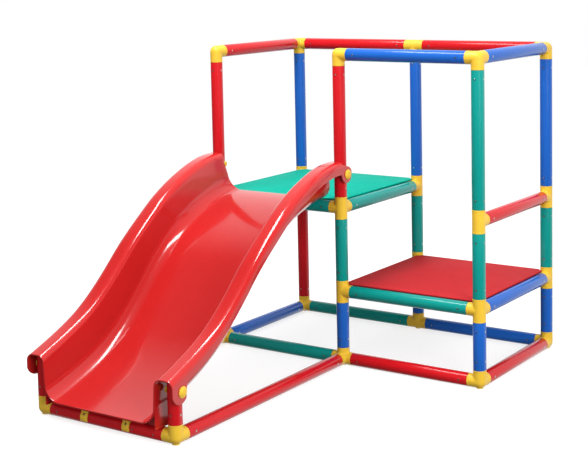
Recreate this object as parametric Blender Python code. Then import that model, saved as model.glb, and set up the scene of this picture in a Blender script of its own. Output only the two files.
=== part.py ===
"""Toddler climbing frame: plastic tubes pushed onto moulded joints, two decks and a slide.

Metres, +Z up. The slide runs out towards -Y, the two climbing bays stand side by side along X.
"""
import math

import bmesh
import bpy
from mathutils import Matrix, Vector

# ---------------------------------------------------------------- driving dimensions
TUBE_D = 0.048          # outside diameter of every tube and joint arm
TUBE_WALL = 0.0025      # wall of a tube
PITCH = 0.575           # spacing of the uprights, centre to centre, both ways
SLIDE_RUN = 0.981       # from the front row of uprights to the two short slide posts
LOWER_LEVEL = 0.257     # height of the lower deck's tubes above the floor tubes
UPPER_LEVEL = 0.575     # height of the upper deck's tubes and of the right-hand rail
TOP_LEVEL = 1.15        # height of the top bars
JOINT_ARM = 0.042       # from a joint's centre to the shoulder the tube butts against
SPIGOT_LEN = 0.030      # length of joint hidden inside each tube
ARM_START = -0.0013     # a single arm starts just behind the joint's centre
MIDDLE_SHARE = 0.978    # ball in a corner joint, as a share of the tube's radius
MIDDLE_RINGS = 6
FIT_GAP = 0.0003        # clearance between pieces that touch
ROUND_SIDES = 12        # facets round a tube
EDGE_ANGLE = math.radians(42)   # edges sharper than this stay crisp, the rest is shaded round

PAD_R = 0.013           # flat foot under each floor joint
PAD_DROP = 0.0006       # how far the foot stands below the floor tubes
PAD_SIDES = 10

DECK_T = 0.006          # deck board
DECK_INSET = 0.008      # board edge inside the line of the uprights
DECK_NOTCH_R = 0.028    # corner notch round each upright
DECK_RIB_INSET = 0.030  # stiffening ring below the board, inside the tubes
DECK_RIB_T = 0.004
DECK_RIB_DEPTH = 0.018

SLIDE_T = 0.005         # skin of the slide
RIM_OUT = 0.0326        # outer lip's outer face, outside the post's centre
RIM_IN = 0.0455         # inner wall's face at the top, inside the post's centre
RIM_CORNER_R = 0.026    # shoulders of the rolled rim
LIP_DROP = 0.045        # lower edge of the outer lip below the rim's top
WALL_FOOT_IN = 0.0495   # inner wall's face where the bed fillet starts
BED_FILLET_R = 0.057
SLIDE_NOSE = 0.048      # front edge beyond the slide posts' centres
SLIDE_TAIL = 0.003      # landing lip beyond the front uprights' centres
EAR_TAIL = 0.027        # outer lip beyond the front uprights' centres
# height of the bed and of the rim along the slide: (y, height, slope)
BED_LINE = (
    (-1.029, 0.042, 0.25),
    (-0.830, 0.107, 0.40),
    (-0.602, 0.250, 0.95),
    (-0.424, 0.428, 0.92),
    (-0.208, 0.553, 0.38),
    (0.003, 0.6055, 0.05),
    (0.027, 0.606, 0.0),
)
RIM_LINE = (
    (-1.029, 0.193, 0.38),
    (-0.830, 0.277, 0.52),
    (-0.602, 0.456, 0.97),
    (-0.424, 0.600, 0.75),
    (-0.208, 0.716, 0.38),
    (-0.060, 0.751, 0.05),
    (0.027, 0.752, 0.0),
)
SLIDE_STATIONS = 18
# rear edge of the walls and landing lip, behind which the rim is open for the uprights: (y, height)
REAR_EDGE = (
    (-0.026, 0.802),
    (-0.026, 0.715),
    (-0.008, 0.665),
    (0.000, 0.630),
    (SLIDE_TAIL, 0.615),
    (SLIDE_TAIL, 0.550),
    (0.080, 0.550),
    (0.080, 0.802),
)
FOOT_WEB_FACE = 0.0458  # side webs under the slide's front end: outer face, inside the post
FOOT_WEB_T = 0.0032
FOOT_WEB_TOP = 0.115
FOOT_WEB_LOW = 0.0255
FOOT_WEB_BACK = -0.940
FOOT_WEB_SETBACK = 0.004        # webs start behind the slide's front edge
FOOT_RIB_TOP = 0.0630   # cross rib that joins the webs behind the front tube
FOOT_RIB_LOW = 0.018
FOOT_RIB_T = 0.004
FOOT_RIB_SETBACK = 0.001

BOLT_UPPER = 0.128      # bolt above the upper level
BOLT_LOWER = 0.150      # bolt above the floor tubes
BOLT_R = 0.005
BOLT_CAP_R = 0.019
BOLT_CAP_T = 0.008
BOLT_WASHER_R = 0.0125
BOLT_NUT_END = 0.0335   # inner end of the nut, from the post's centre
EAR_R = 0.032           # round ear of the lip about each upper bolt
FOOT_EAR_R = 0.0375     # wider ear about each lower bolt
FOOT_EAR_BACK = 0.010   # its centre in front of the lower bolt
FOOT_EAR_SQUARE = 0.6   # how far up the wide ear stays full width, as a share of its radius
SLIDE_POST_TOP = 0.185  # top of the short slide posts

CLIP_WIDTH = 0.031
CLIP_T = 0.0032
CLIP_X = (0.2005, 0.3835)
CLIP_FROM = math.radians(-22)
CLIP_TO = math.radians(202)
CLIP_HOLE_R = 0.0028
CLIP_HOLE_ANGLE = math.radians(32)
CLIP_BLOCK_ANGLE = math.radians(40)     # where the block above the saddle meets it
CLIP_STEPS = 14

TUBE_R = TUBE_D / 2
BORE_R = TUBE_R - TUBE_WALL
FLOOR = -TUBE_R - PAD_DROP
CAP_OUT = RIM_OUT + FIT_GAP + BOLT_CAP_T
SHIFT = Vector((
    -(2 * PITCH + TUBE_R - CAP_OUT) / 2,
    -(PITCH + TUBE_R - SLIDE_RUN - SLIDE_NOSE) / 2,
    -FLOOR,
))

AXES = {"x": Vector((1, 0, 0)), "y": Vector((0, 1, 0)), "z": Vector((0, 0, 1))}

# base colour, metallic, roughness
FINISHES = {
    "red_tube": ((0.62, 0.02, 0.035, 1), 0.0, 0.28),
    "blue_tube": ((0.022, 0.11, 0.55, 1), 0.0, 0.28),
    "green_tube": ((0.01, 0.35, 0.27, 1), 0.0, 0.28),
    "yellow_joint": ((0.82, 0.50, 0.05, 1), 0.0, 0.32),
    "green_board": ((0.015, 0.52, 0.39, 1), 0.0, 0.5),
    "red_board": ((0.55, 0.05, 0.06, 1), 0.0, 0.5),
    "red_slide": ((0.68, 0.02, 0.02, 1), 0.0, 0.22),
}

POSTS = {
    "front_left": (0.0, 0.0),
    "front_mid": (PITCH, 0.0),
    "front_right": (2 * PITCH, 0.0),
    "back_left": (0.0, PITCH),
    "back_mid": (PITCH, PITCH),
    "back_right": (2 * PITCH, PITCH),
    "slide_left": (0.0, -SLIDE_RUN),
    "slide_right": (PITCH, -SLIDE_RUN),
}
LEVELS = {"floor": 0.0, "lower": LOWER_LEVEL, "upper": UPPER_LEVEL, "top": TOP_LEVEL}

# level tubes: name, level, from post, to post, colour
RAILS = (
    ("floor_slide_front", "floor", "slide_left", "slide_right", "red"),
    ("floor_slide_right", "floor", "slide_right", "front_mid", "red"),
    ("floor_slide_left", "floor", "slide_left", "front_left", "red"),
    ("floor_left", "floor", "front_left", "back_left", "blue"),
    ("floor_front_left", "floor", "front_left", "front_mid", "green"),
    ("floor_back_left", "floor", "back_left", "back_mid", "green"),
    ("floor_front_right", "floor", "front_mid", "front_right", "red"),
    ("floor_back_right", "floor", "back_mid", "back_right", "blue"),
    ("floor_right", "floor", "front_right", "back_right", "red"),
    ("lower_front", "lower", "front_mid", "front_right", "green"),
    ("lower_right", "lower", "front_right", "back_right", "blue"),
    ("lower_middle", "lower", "front_mid", "back_mid", "green"),
    ("lower_back", "lower", "back_mid", "back_right", "green"),
    ("upper_front", "upper", "front_left", "front_mid", "green"),
    ("upper_middle", "upper", "front_mid", "back_mid", "green"),
    ("upper_left", "upper", "front_left", "back_left", "green"),
    ("upper_back", "upper", "back_left", "back_mid", "green"),
    ("rail_right", "upper", "front_right", "back_right", "red"),
    ("top_left", "top", "front_left", "back_left", "red"),
    ("top_back_left", "top", "back_left", "back_mid", "red"),
    ("top_back_right", "top", "back_mid", "back_right", "red"),
    ("top_front_right", "top", "front_mid", "front_right", "blue"),
    ("top_right", "top", "front_right", "back_right", "blue"),
)
# uprights: post, from level, to level, colour
UPRIGHTS = (
    ("front_left", "floor", "upper", "blue"),
    ("front_left", "upper", "top", "red"),
    ("back_left", "floor", "upper", "red"),
    ("back_left", "upper", "top", "blue"),
    ("front_mid", "floor", "lower", "blue"),
    ("front_mid", "lower", "upper", "green"),
    ("front_mid", "upper", "top", "red"),
    ("back_mid", "floor", "lower", "blue"),
    ("back_mid", "lower", "upper", "green"),
    ("back_mid", "upper", "top", "blue"),
    ("front_right", "floor", "lower", "blue"),
    ("front_right", "lower", "upper", "green"),
    ("front_right", "upper", "top", "green"),
    ("back_right", "floor", "lower", "blue"),
    ("back_right", "lower", "upper", "green"),
    ("back_right", "upper", "top", "blue"),
)
# a joint made in one piece with tubes pushed onto it: piece name, post, level, tubes
JOINED = (
    ("corner_upper_back_left", "back_left", "upper", ("tube_upper_left", "tube_upper_back")),
    ("corner_lower_back_mid", "back_mid", "lower", ("tube_lower_middle", "tube_lower_back")),
    ("corner_floor_front_left", "front_left", "floor", ("tube_floor_slide_left",)),
    ("upright_front_left_lower_half", "front_left", "upper", ("upright_front_left_floor_upper",)),
    ("upright_back_left_upper_half", "back_left", "top", ("upright_back_left_upper_top",)),
    ("upright_back_mid_upper_half", "back_mid", "top", ("upright_back_mid_upper_top",)),
    ("upright_back_right_upper_half", "back_right", "top", ("upright_back_right_upper_top",)),
    ("upright_back_left_lower_half", "back_left", "floor", ("upright_back_left_floor_upper",)),
    ("upright_back_mid_foot", "back_mid", "floor", ("upright_back_mid_floor_lower",)),
    ("upright_back_right_foot", "back_right", "floor", ("upright_back_right_floor_lower",)),
    ("upright_back_right_middle", "back_right", "upper", ("upright_back_right_lower_upper",)),
    ("upright_back_mid_middle", "back_mid", "upper", ("upright_back_mid_lower_upper",)),
)
SEAT_FROM = 0.012       # where a joined tube grips its spigot, beyond the shoulder
SEAT_LEN = 0.006
# turn of the facets about each axis, so that crossing arms never share an edge
FACET_TURN = {0: math.pi / ROUND_SIDES, 1: 0.0, 2: math.pi / ROUND_SIDES / 2}


# ---------------------------------------------------------------- helpers
def clear_scene():
    for obj in list(bpy.data.objects):
        bpy.data.objects.remove(obj)


def finish_named(key):
    found = bpy.data.materials.get(key)
    if found:
        return found
    colour, metallic, roughness = FINISHES[key]
    made = bpy.data.materials.new(key)
    made.use_nodes = True
    shader = made.node_tree.nodes["Principled BSDF"]
    shader.inputs["Base Color"].default_value = colour
    shader.inputs["Metallic"].default_value = metallic
    shader.inputs["Roughness"].default_value = roughness
    made.diffuse_color = colour
    return made


def object_from(name, mesh_data, finish):
    bmesh.ops.recalc_face_normals(mesh_data, faces=mesh_data.faces)
    mesh = bpy.data.meshes.new(name)
    mesh_data.to_mesh(mesh)
    mesh_data.free()
    obj = bpy.data.objects.new(name, mesh)
    bpy.context.scene.collection.objects.link(obj)
    obj.data.materials.append(finish_named(finish))
    return obj


def combine(target, other, operation):
    """Boolean of two objects; the second one is used up."""
    modifier = target.modifiers.new("combine", "BOOLEAN")
    modifier.operation = operation
    modifier.solver = "EXACT"
    modifier.object = other
    bpy.context.view_layer.update()
    graph = bpy.context.evaluated_depsgraph_get()
    result = bpy.data.meshes.new_from_object(target.evaluated_get(graph))
    target.modifiers.remove(modifier)
    target.data = result
    bpy.data.objects.remove(other)
    return target


def cross_axes(direction):
    """The two world axes square to a level or upright direction."""
    along = max(range(3), key=lambda i: abs(direction[i]))
    names = [axis for i, axis in enumerate(AXES.values()) if i != along]
    return names[0], names[1]


def facet_turn(direction):
    return FACET_TURN[max(range(3), key=lambda i: abs(direction[i]))]


def turned_solid(start, direction, outline, sides=ROUND_SIDES):
    """Closed solid of revolution; outline is a run of (distance along, radius)."""
    u, v = cross_axes(direction)
    turn = facet_turn(direction)
    made = bmesh.new()
    rings = []
    for distance, radius in outline:
        centre = start + direction * distance
        if radius == 0:
            rings.append([made.verts.new(centre)])
            continue
        ring = []
        for i in range(sides):
            angle = turn + 2 * math.pi * i / sides
            point = centre + radius * (u * math.cos(angle) + v * math.sin(angle))
            ring.append(made.verts.new(point))
        rings.append(ring)
    for first, second in zip(rings, rings[1:]):
        for i in range(sides):
            j = (i + 1) % sides
            corners = [first[i % len(first)], first[j % len(first)]]
            corners += [second[j % len(second)], second[i % len(second)]]
            made.faces.new(list(dict.fromkeys(corners)))
    for ring in (rings[0], rings[-1]):
        if len(ring) > 1:
            made.faces.new(ring)
    return made


def pipe(start, end):
    """Open-ended tube between two points."""
    direction = (end - start).normalized()
    u, v = cross_axes(direction)
    turn = facet_turn(direction)
    made = bmesh.new()
    rings = []
    for centre, radius in ((start, TUBE_R), (end, TUBE_R), (end, BORE_R), (start, BORE_R)):
        ring = []
        for i in range(ROUND_SIDES):
            angle = turn + 2 * math.pi * i / ROUND_SIDES
            point = centre + radius * (u * math.cos(angle) + v * math.sin(angle))
            ring.append(made.verts.new(point))
        rings.append(ring)
    for k in range(4):
        first, second = rings[k], rings[(k + 1) % 4]
        for i in range(ROUND_SIDES):
            j = (i + 1) % ROUND_SIDES
            made.faces.new((first[i], first[j], second[j], second[i]))
    return made


def box(low, high):
    made = bmesh.new()
    bmesh.ops.create_cube(made, size=1)
    for vert in made.verts:
        for axis in range(3):
            vert.co[axis] = low[axis] if vert.co[axis] < 0 else high[axis]
    return made


def prism_along_x(outline, x_from, x_to):
    """Solid with a closed (y, z) outline, drawn out along X."""
    made = bmesh.new()
    near = [made.verts.new((x_from, y, z)) for y, z in outline]
    far = [made.verts.new((x_to, y, z)) for y, z in outline]
    made.faces.new(near)
    made.faces.new(far)
    for i in range(len(outline)):
        j = (i + 1) % len(outline)
        made.faces.new((near[i], near[j], far[j], far[i]))
    return made


def joint_at(post, level):
    x, y = POSTS[post]
    return Vector((x, y, LEVELS[level]))


# ---------------------------------------------------------------- tubes and joints
def add_tubes(arms, ends):
    """Makes every tube and notes which way each joint's arms point."""
    for name, level, first, second, colour in RAILS:
        a, b = joint_at(first, level), joint_at(second, level)
        ends["tube_" + name] = ((first, level), (second, level), (b - a).normalized())
        add_tube("tube_" + name, a, b, colour, arms, ends)
    for post, low, high, colour in UPRIGHTS:
        a, b = joint_at(post, low), joint_at(post, high)
        name = "upright_" + post + "_" + low + "_" + high
        ends[name] = ((post, low), (post, high), AXES["z"])
        add_tube(name, a, b, colour, arms, ends)
    for post in ("slide_left", "slide_right"):
        a = joint_at(post, "floor")
        arms.setdefault((post, "floor"), []).append(AXES["z"])
        start = a + AXES["z"] * (JOINT_ARM + FIT_GAP)
        end = a + AXES["z"] * SLIDE_POST_TOP
        object_from("upright_" + post, pipe(start, end), "red_tube")


def add_tube(name, a, b, colour, arms, ends):
    first_joint, second_joint, direction = ends[name]
    arms.setdefault(first_joint, []).append(direction)
    arms.setdefault(second_joint, []).append(-direction)
    reach = direction * (JOINT_ARM + FIT_GAP)
    object_from(name, pipe(a + reach, b - reach), colour + "_tube")


def add_joint(post, level, directions):
    """One moulded joint: stepped arms, a rounded middle and, on the floor, a flat foot."""
    centre = joint_at(post, level)
    spigot_r = BORE_R - FIT_GAP
    arm_end = JOINT_ARM + SPIGOT_LEN
    joint = None
    straight = [d for d in directions if -d in directions and max(d) > 0]
    single = [d for d in directions if -d not in directions]
    solids = []
    for direction in straight:
        outline = ((-arm_end, spigot_r), (-JOINT_ARM, spigot_r), (-JOINT_ARM, TUBE_R))
        outline += ((JOINT_ARM, TUBE_R), (JOINT_ARM, spigot_r), (arm_end, spigot_r))
        solids.append(turned_solid(centre, direction, outline))
    if not straight:
        solids.append(rounded_middle(centre))
    for direction in single:
        outline = ((ARM_START, TUBE_R), (JOINT_ARM, TUBE_R))
        outline += ((JOINT_ARM, spigot_r), (arm_end, spigot_r))
        solids.append(turned_solid(centre, direction, outline))
    if level == "floor":
        foot_outline = ((FLOOR, PAD_R), (-TUBE_R / 2, PAD_R))
        solids.append(turned_solid(centre, AXES["z"], foot_outline, PAD_SIDES))
    for solid in solids:
        piece = object_from("joint_" + level + "_" + post, solid, "yellow_joint")
        joint = combine(joint, piece, "UNION") if joint else piece
    return joint


def rounded_middle(centre):
    """Ball that rounds off a corner joint, a touch inside the arms' faces."""
    radius = TUBE_R * MIDDLE_SHARE
    outline = []
    for i in range(MIDDLE_RINGS + 1):
        angle = math.pi * i / MIDDLE_RINGS
        ring = 0 if i in (0, MIDDLE_RINGS) else radius * math.sin(angle)
        outline.append((-radius * math.cos(angle), ring))
    return turned_solid(centre, AXES["z"], outline, 2 * MIDDLE_RINGS)


def join_groups(ends):
    """Fixes chosen tubes to their joint's spigots, so that each group is one piece."""
    for name, post, level, tubes in JOINED:
        kept = bpy.data.objects["joint_" + level + "_" + post]
        centre = joint_at(post, level)
        for tube in tubes:
            first, second, direction = ends[tube]
            outward = direction if first == (post, level) else -direction
            seat_end = JOINT_ARM + SEAT_FROM + SEAT_LEN
            seat_r = BORE_R + TUBE_WALL / 2
            outline = ((JOINT_ARM + SEAT_FROM, seat_r), (seat_end, seat_r))
            seat = object_from("seat", turned_solid(centre, outward, outline), "yellow_joint")
            combine(kept, seat, "UNION")
            combine(kept, bpy.data.objects[tube], "UNION")
        kept.name = name
        if name.startswith("upright") or name == "corner_floor_front_left":
            kept.data.materials[0] = finish_named(tube_colours()[tubes[0]] + "_tube")


def tube_colours():
    colours = {"tube_" + rail[0]: rail[4] for rail in RAILS}
    for post, low, high, colour in UPRIGHTS:
        colours["upright_" + post + "_" + low + "_" + high] = colour
    return colours


# ---------------------------------------------------------------- decks
def add_deck(name, left_post, level, finish):
    x, y = POSTS[left_post]
    z = LEVELS[level] + TUBE_R + FIT_GAP
    low = (x + DECK_INSET, y + DECK_INSET, z)
    high = (x + PITCH - DECK_INSET, y + PITCH - DECK_INSET, z + DECK_T)
    deck = object_from(name, box(low, high), finish)
    for dx in (0, PITCH):
        for dy in (0, PITCH):
            corner = Vector((x + dx, y + dy, z - DECK_T))
            outline = ((0, DECK_NOTCH_R), (3 * DECK_T, DECK_NOTCH_R))
            notch = turned_solid(corner, AXES["z"], outline)
            combine(deck, object_from("notch", notch, finish), "DIFFERENCE")
    inset = DECK_RIB_INSET
    low = (x + inset, y + inset, z - DECK_RIB_DEPTH)
    high = (x + PITCH - inset, y + PITCH - inset, z + DECK_T / 2)
    ring = object_from("ring", box(low, high), finish)
    middle, half = PITCH / 2, DECK_RIB_T / 2
    spans = ((inset + DECK_RIB_T, middle - half), (middle + half, PITCH - inset - DECK_RIB_T))
    for x_from, x_to in spans:
        for y_from, y_to in spans:
            low = (x + x_from, y + y_from, z - 2 * DECK_RIB_DEPTH)
            high = (x + x_to, y + y_to, z + DECK_T)
            combine(ring, object_from("pocket", box(low, high), finish), "DIFFERENCE")
    combine(deck, ring, "UNION")


# ---------------------------------------------------------------- slide
def height_on(line, y):
    """Smooth curve through the line's (y, height, slope) points."""
    for (y0, h0, s0), (y1, h1, s1) in zip(line, line[1:]):
        if y <= y1:
            span = y1 - y0
            t = (y - y0) / span
            value = h0 * (2 * t**3 - 3 * t**2 + 1) + h1 * (3 * t**2 - 2 * t**3)
            value += span * (s0 * (t**3 - 2 * t**2 + t) + s1 * (t**3 - t**2))
            return value
    return line[-1][1]


def arc(cx, cz, radius, start, end, steps):
    points = []
    for i in range(steps + 1):
        angle = math.radians(start + (end - start) * i / steps)
        points.append((cx + radius * math.cos(angle), cz + radius * math.sin(angle)))
    return points


def section_half(bed, rim, inward):
    """Left half of the slide's cross-section, lip to bed, set in by a distance from the shown face."""
    shoulder = RIM_CORNER_R - inward
    rim_z = rim - RIM_CORNER_R
    points = [(-RIM_OUT + inward, rim - LIP_DROP)]
    points += arc(-RIM_OUT + RIM_CORNER_R, rim_z, shoulder, 180, 90, 3)
    points += arc(RIM_IN - RIM_CORNER_R, rim_z, shoulder, 90, 0, 3)
    fillet = BED_FILLET_R + inward
    points += arc(WALL_FOOT_IN + BED_FILLET_R, bed + BED_FILLET_R, fillet, 180, 270, 4)
    return points


def section_loop(y):
    bed, rim = height_on(BED_LINE, y), height_on(RIM_LINE, y)
    loop = []
    for inward in (0, SLIDE_T):
        half = section_half(bed, rim, inward)
        whole = half + [(PITCH - x, z) for x, z in reversed(half)]
        loop += whole if inward == 0 else list(reversed(whole))
    return loop


def add_slide():
    made = bmesh.new()
    y_from, y_to = -SLIDE_RUN - SLIDE_NOSE, EAR_TAIL
    rings = []
    for i in range(SLIDE_STATIONS + 1):
        y = y_from + (y_to - y_from) * i / SLIDE_STATIONS
        rings.append([made.verts.new((x, y, z)) for x, z in section_loop(y)])
    count = len(rings[0])
    for first, second in zip(rings, rings[1:]):
        for i in range(count):
            j = (i + 1) % count
            made.faces.new((first[i], first[j], second[j], second[i]))
    for ring in (rings[0], rings[-1]):
        half = count // 2
        for i in range(half - 1):
            made.faces.new((ring[i], ring[i + 1], ring[count - 2 - i], ring[count - 1 - i]))
    slide = object_from("slide", made, "red_slide")
    for side in (0, PITCH):
        outward = -1 if side == 0 else 1
        add_ears(slide, side, outward)
    cut_slide_tail(slide)
    add_foot_webs(slide)
    for side in (0, PITCH):
        outward = -1 if side == 0 else 1
        drill_lip(slide, side, outward, 0, UPPER_LEVEL + BOLT_UPPER)
        drill_lip(slide, side, outward, -SLIDE_RUN, BOLT_LOWER)


def add_ears(slide, side, outward):
    direction = AXES["x"] * outward
    inner = RIM_OUT - SLIDE_T
    outline = ((inner, EAR_R), (RIM_OUT, EAR_R))
    start = Vector((side, -EAR_R + EAR_TAIL, UPPER_LEVEL + BOLT_UPPER))
    ear = turned_solid(start, direction, outline)
    combine(slide, object_from("ear", ear, "red_slide"), "UNION")
    outline = ((inner, FOOT_EAR_R), (RIM_OUT, FOOT_EAR_R))
    centre_y = -SLIDE_RUN - FOOT_EAR_BACK
    start = Vector((side, centre_y, BOLT_LOWER))
    ear = turned_solid(start, direction, outline)
    combine(slide, object_from("ear", ear, "red_slide"), "UNION")
    low_x, high_x = sorted((side + outward * inner, side + outward * RIM_OUT))
    low = (low_x, centre_y - FOOT_EAR_R, BOLT_LOWER)
    high = (high_x, centre_y + FOOT_EAR_R, BOLT_LOWER + FOOT_EAR_R * FOOT_EAR_SQUARE)
    combine(slide, object_from("ear", box(low, high), "red_slide"), "UNION")


def add_foot_webs(slide):
    """Box-shaped stiffening under the slide's front end, open below."""
    y_front = -SLIDE_RUN - SLIDE_NOSE + FOOT_WEB_SETBACK
    face, inside = FOOT_WEB_FACE, FOOT_WEB_FACE + FOOT_WEB_T
    for x_from, x_to in ((face, inside), (PITCH - inside, PITCH - face)):
        web = box((x_from, y_front, FOOT_WEB_LOW), (x_to, FOOT_WEB_BACK, FOOT_WEB_TOP))
        combine(slide, object_from("web", web, "red_slide"), "UNION")
    y_rib = FOOT_WEB_BACK - FOOT_RIB_SETBACK
    low = (face + FOOT_WEB_T / 2, y_rib - FOOT_RIB_T, FOOT_RIB_LOW)
    high = (PITCH - face - FOOT_WEB_T / 2, y_rib, FOOT_RIB_TOP)
    combine(slide, object_from("rib", box(low, high), "red_slide"), "UNION")


def cut_slide_tail(slide):
    """Opens the rim behind the uprights and shapes the rear edge of the walls and landing lip."""
    inner = RIM_OUT - SLIDE_T + FIT_GAP / 2
    cutter = object_from("tail_cut", prism_along_x(REAR_EDGE, -inner, PITCH + inner), "red_slide")
    combine(slide, cutter, "DIFFERENCE")


def drill_lip(slide, side, outward, y, z):
    start = Vector((side, y, z))
    outline = ((TUBE_R, BOLT_R + FIT_GAP), (RIM_OUT + SLIDE_T, BOLT_R + FIT_GAP))
    hole = turned_solid(start, AXES["x"] * outward, outline, 12)
    combine(slide, object_from("hole", hole, "red_slide"), "DIFFERENCE")


def add_bolt(name, side, outward, y, z, upright):
    """Domed cap, shank, washer inside the lip and nut on the far side of the post."""
    start = Vector((side, y, z)) - AXES["x"] * outward * BOLT_NUT_END
    face = BOLT_NUT_END + RIM_OUT + FIT_GAP
    lip = BOLT_NUT_END + RIM_OUT - SLIDE_T - FIT_GAP
    near, far = BOLT_NUT_END - TUBE_R - FIT_GAP, BOLT_NUT_END + TUBE_R + FIT_GAP
    outline = (
        (0, BOLT_WASHER_R),
        (near, BOLT_WASHER_R),
        (near, BOLT_R),
        (far, BOLT_R),
        (far, BOLT_WASHER_R),
        (lip, BOLT_WASHER_R),
        (lip, BOLT_R),
        (face, BOLT_R),
        (face, BOLT_CAP_R),
        (face + BOLT_CAP_T * 0.6, BOLT_CAP_R),
        (face + BOLT_CAP_T, BOLT_CAP_R * 0.6),
    )
    object_from(name, turned_solid(start, AXES["x"] * outward, outline, 10), "yellow_joint")
    reach = TUBE_R + 0.01
    hole_outline = ((-reach, BOLT_R + FIT_GAP), (reach, BOLT_R + FIT_GAP))
    hole = turned_solid(Vector((side, y, z)), AXES["x"], hole_outline, 12)
    combine(bpy.data.objects[upright], object_from("hole", hole, "red_tube"), "DIFFERENCE")


def add_bolts():
    upper = UPPER_LEVEL + BOLT_UPPER
    add_bolt("bolt_upper_left", 0, -1, 0, upper, "upright_front_left_upper_top")
    add_bolt("bolt_upper_right", PITCH, 1, 0, upper, "upright_front_mid_upper_top")
    add_bolt("bolt_lower_left", 0, -1, -SLIDE_RUN, BOLT_LOWER, "upright_slide_left")
    add_bolt("bolt_lower_right", PITCH, 1, -SLIDE_RUN, BOLT_LOWER, "upright_slide_right")


def add_clip(name, x):
    """Saddle round the floor tube with a block reaching up to the slide's bed."""
    inner, outer = TUBE_R + FIT_GAP, TUBE_R + FIT_GAP + CLIP_T
    outline = []
    for radius, order in ((outer, range(CLIP_STEPS + 1)), (inner, range(CLIP_STEPS, -1, -1))):
        for i in order:
            angle = CLIP_FROM + (CLIP_TO - CLIP_FROM) * i / CLIP_STEPS
            y = -SLIDE_RUN - radius * math.cos(angle)
            outline.append((y, radius * math.sin(angle)))
    left, right = x - CLIP_WIDTH / 2, x + CLIP_WIDTH / 2
    clip = object_from(name, prism_along_x(outline, left, right), "yellow_joint")
    middle = (inner + outer) / 2
    reach = middle * math.cos(CLIP_BLOCK_ANGLE)
    base = middle * math.sin(CLIP_BLOCK_ANGLE)
    clearance = SLIDE_T + FIT_GAP * 2
    y_front, y_back = -SLIDE_RUN - reach, -SLIDE_RUN + reach
    block_outline = (
        (y_front, base),
        (y_front, height_on(BED_LINE, y_front) - clearance),
        (y_back, height_on(BED_LINE, y_back) - clearance),
        (y_back, base),
    )
    block = object_from("block", prism_along_x(block_outline, left, right), "yellow_joint")
    bore_start = Vector((left - CLIP_WIDTH / 2, -SLIDE_RUN, 0))
    bore = turned_solid(bore_start, AXES["x"], ((0, middle), (2 * CLIP_WIDTH, middle)), 32)
    combine(block, object_from("bore", bore, "yellow_joint"), "DIFFERENCE")
    combine(clip, block, "UNION")
    tube_centre = Vector((x, -SLIDE_RUN, 0))
    hole_outline = ((TUBE_R / 2, CLIP_HOLE_R), (2 * TUBE_R, CLIP_HOLE_R))
    hole = turned_solid(tube_centre, -AXES["y"], hole_outline, 10)
    tilt = Matrix.Rotation(-CLIP_HOLE_ANGLE, 3, "X")
    bmesh.ops.rotate(hole, cent=tube_centre, matrix=tilt, verts=hole.verts)
    combine(clip, object_from("hole", hole, "yellow_joint"), "DIFFERENCE")


# ---------------------------------------------------------------- whole frame
def place_on(stand, piece):
    """Shades a piece round, gives it its own middle as origin and sets it on the frame."""
    piece.data.shade_smooth()
    piece.data.set_sharp_from_angle(angle=EDGE_ANGLE)
    corners = [Vector(corner) for corner in piece.bound_box]
    middle = (corners[0] + corners[6]) / 2
    piece.data.transform(Matrix.Translation(-middle))
    piece.location = middle
    piece.parent = stand


def build():
    clear_scene()
    arms, ends = {}, {}
    add_tubes(arms, ends)
    for (post, level), directions in arms.items():
        add_joint(post, level, directions)
    join_groups(ends)
    add_deck("deck_upper", "front_left", "upper", "green_board")
    add_deck("deck_lower", "front_mid", "lower", "red_board")
    add_slide()
    add_bolts()
    for i, x in enumerate(CLIP_X):
        add_clip("clip_" + ("left", "right")[i], x)
    stand = bpy.data.objects.new("climbing_frame", None)
    bpy.context.scene.collection.objects.link(stand)
    stand.location = SHIFT
    for piece in list(bpy.data.objects):
        if piece.type == "MESH":
            place_on(stand, piece)
    bpy.context.view_layer.update()


build()
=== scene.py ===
"""Toddler climbing frame with slide: plastic tubes, moulded joints, two deck boards and a moulded slide.

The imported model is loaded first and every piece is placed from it. Metres, +Z up.
"""
import math
from collections import namedtuple

import bmesh
import bpy
import numpy as np
from bpy.props import FloatProperty, FloatVectorProperty, IntProperty, PointerProperty
from mathutils import Matrix, Vector


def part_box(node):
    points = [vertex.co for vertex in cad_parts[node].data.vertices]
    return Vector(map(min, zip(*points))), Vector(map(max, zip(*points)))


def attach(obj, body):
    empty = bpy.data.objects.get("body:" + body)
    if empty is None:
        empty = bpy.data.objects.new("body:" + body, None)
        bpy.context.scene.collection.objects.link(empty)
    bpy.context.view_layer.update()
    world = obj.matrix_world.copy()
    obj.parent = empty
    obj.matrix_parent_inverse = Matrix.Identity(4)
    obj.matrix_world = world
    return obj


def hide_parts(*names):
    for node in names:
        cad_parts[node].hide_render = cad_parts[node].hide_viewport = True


bl_info = {
    "name": "Toddler climbing frame",
    "version": (1, 0, 0),
    "blender": (4, 5, 0),
    "location": "View3D > Sidebar > Climbing frame",
    "description": "Builds a tube climbing frame with two decks and a slide",
    "category": "Add Mesh",
}

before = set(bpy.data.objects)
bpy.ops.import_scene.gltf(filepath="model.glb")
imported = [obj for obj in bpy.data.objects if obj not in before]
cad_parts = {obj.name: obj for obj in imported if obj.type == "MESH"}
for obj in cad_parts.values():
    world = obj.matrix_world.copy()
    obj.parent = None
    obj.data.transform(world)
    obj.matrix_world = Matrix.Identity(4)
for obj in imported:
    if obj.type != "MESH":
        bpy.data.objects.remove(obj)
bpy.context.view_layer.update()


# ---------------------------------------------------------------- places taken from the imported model
def middle_of(node):
    low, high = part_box(node)
    return (low + high) / 2


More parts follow.
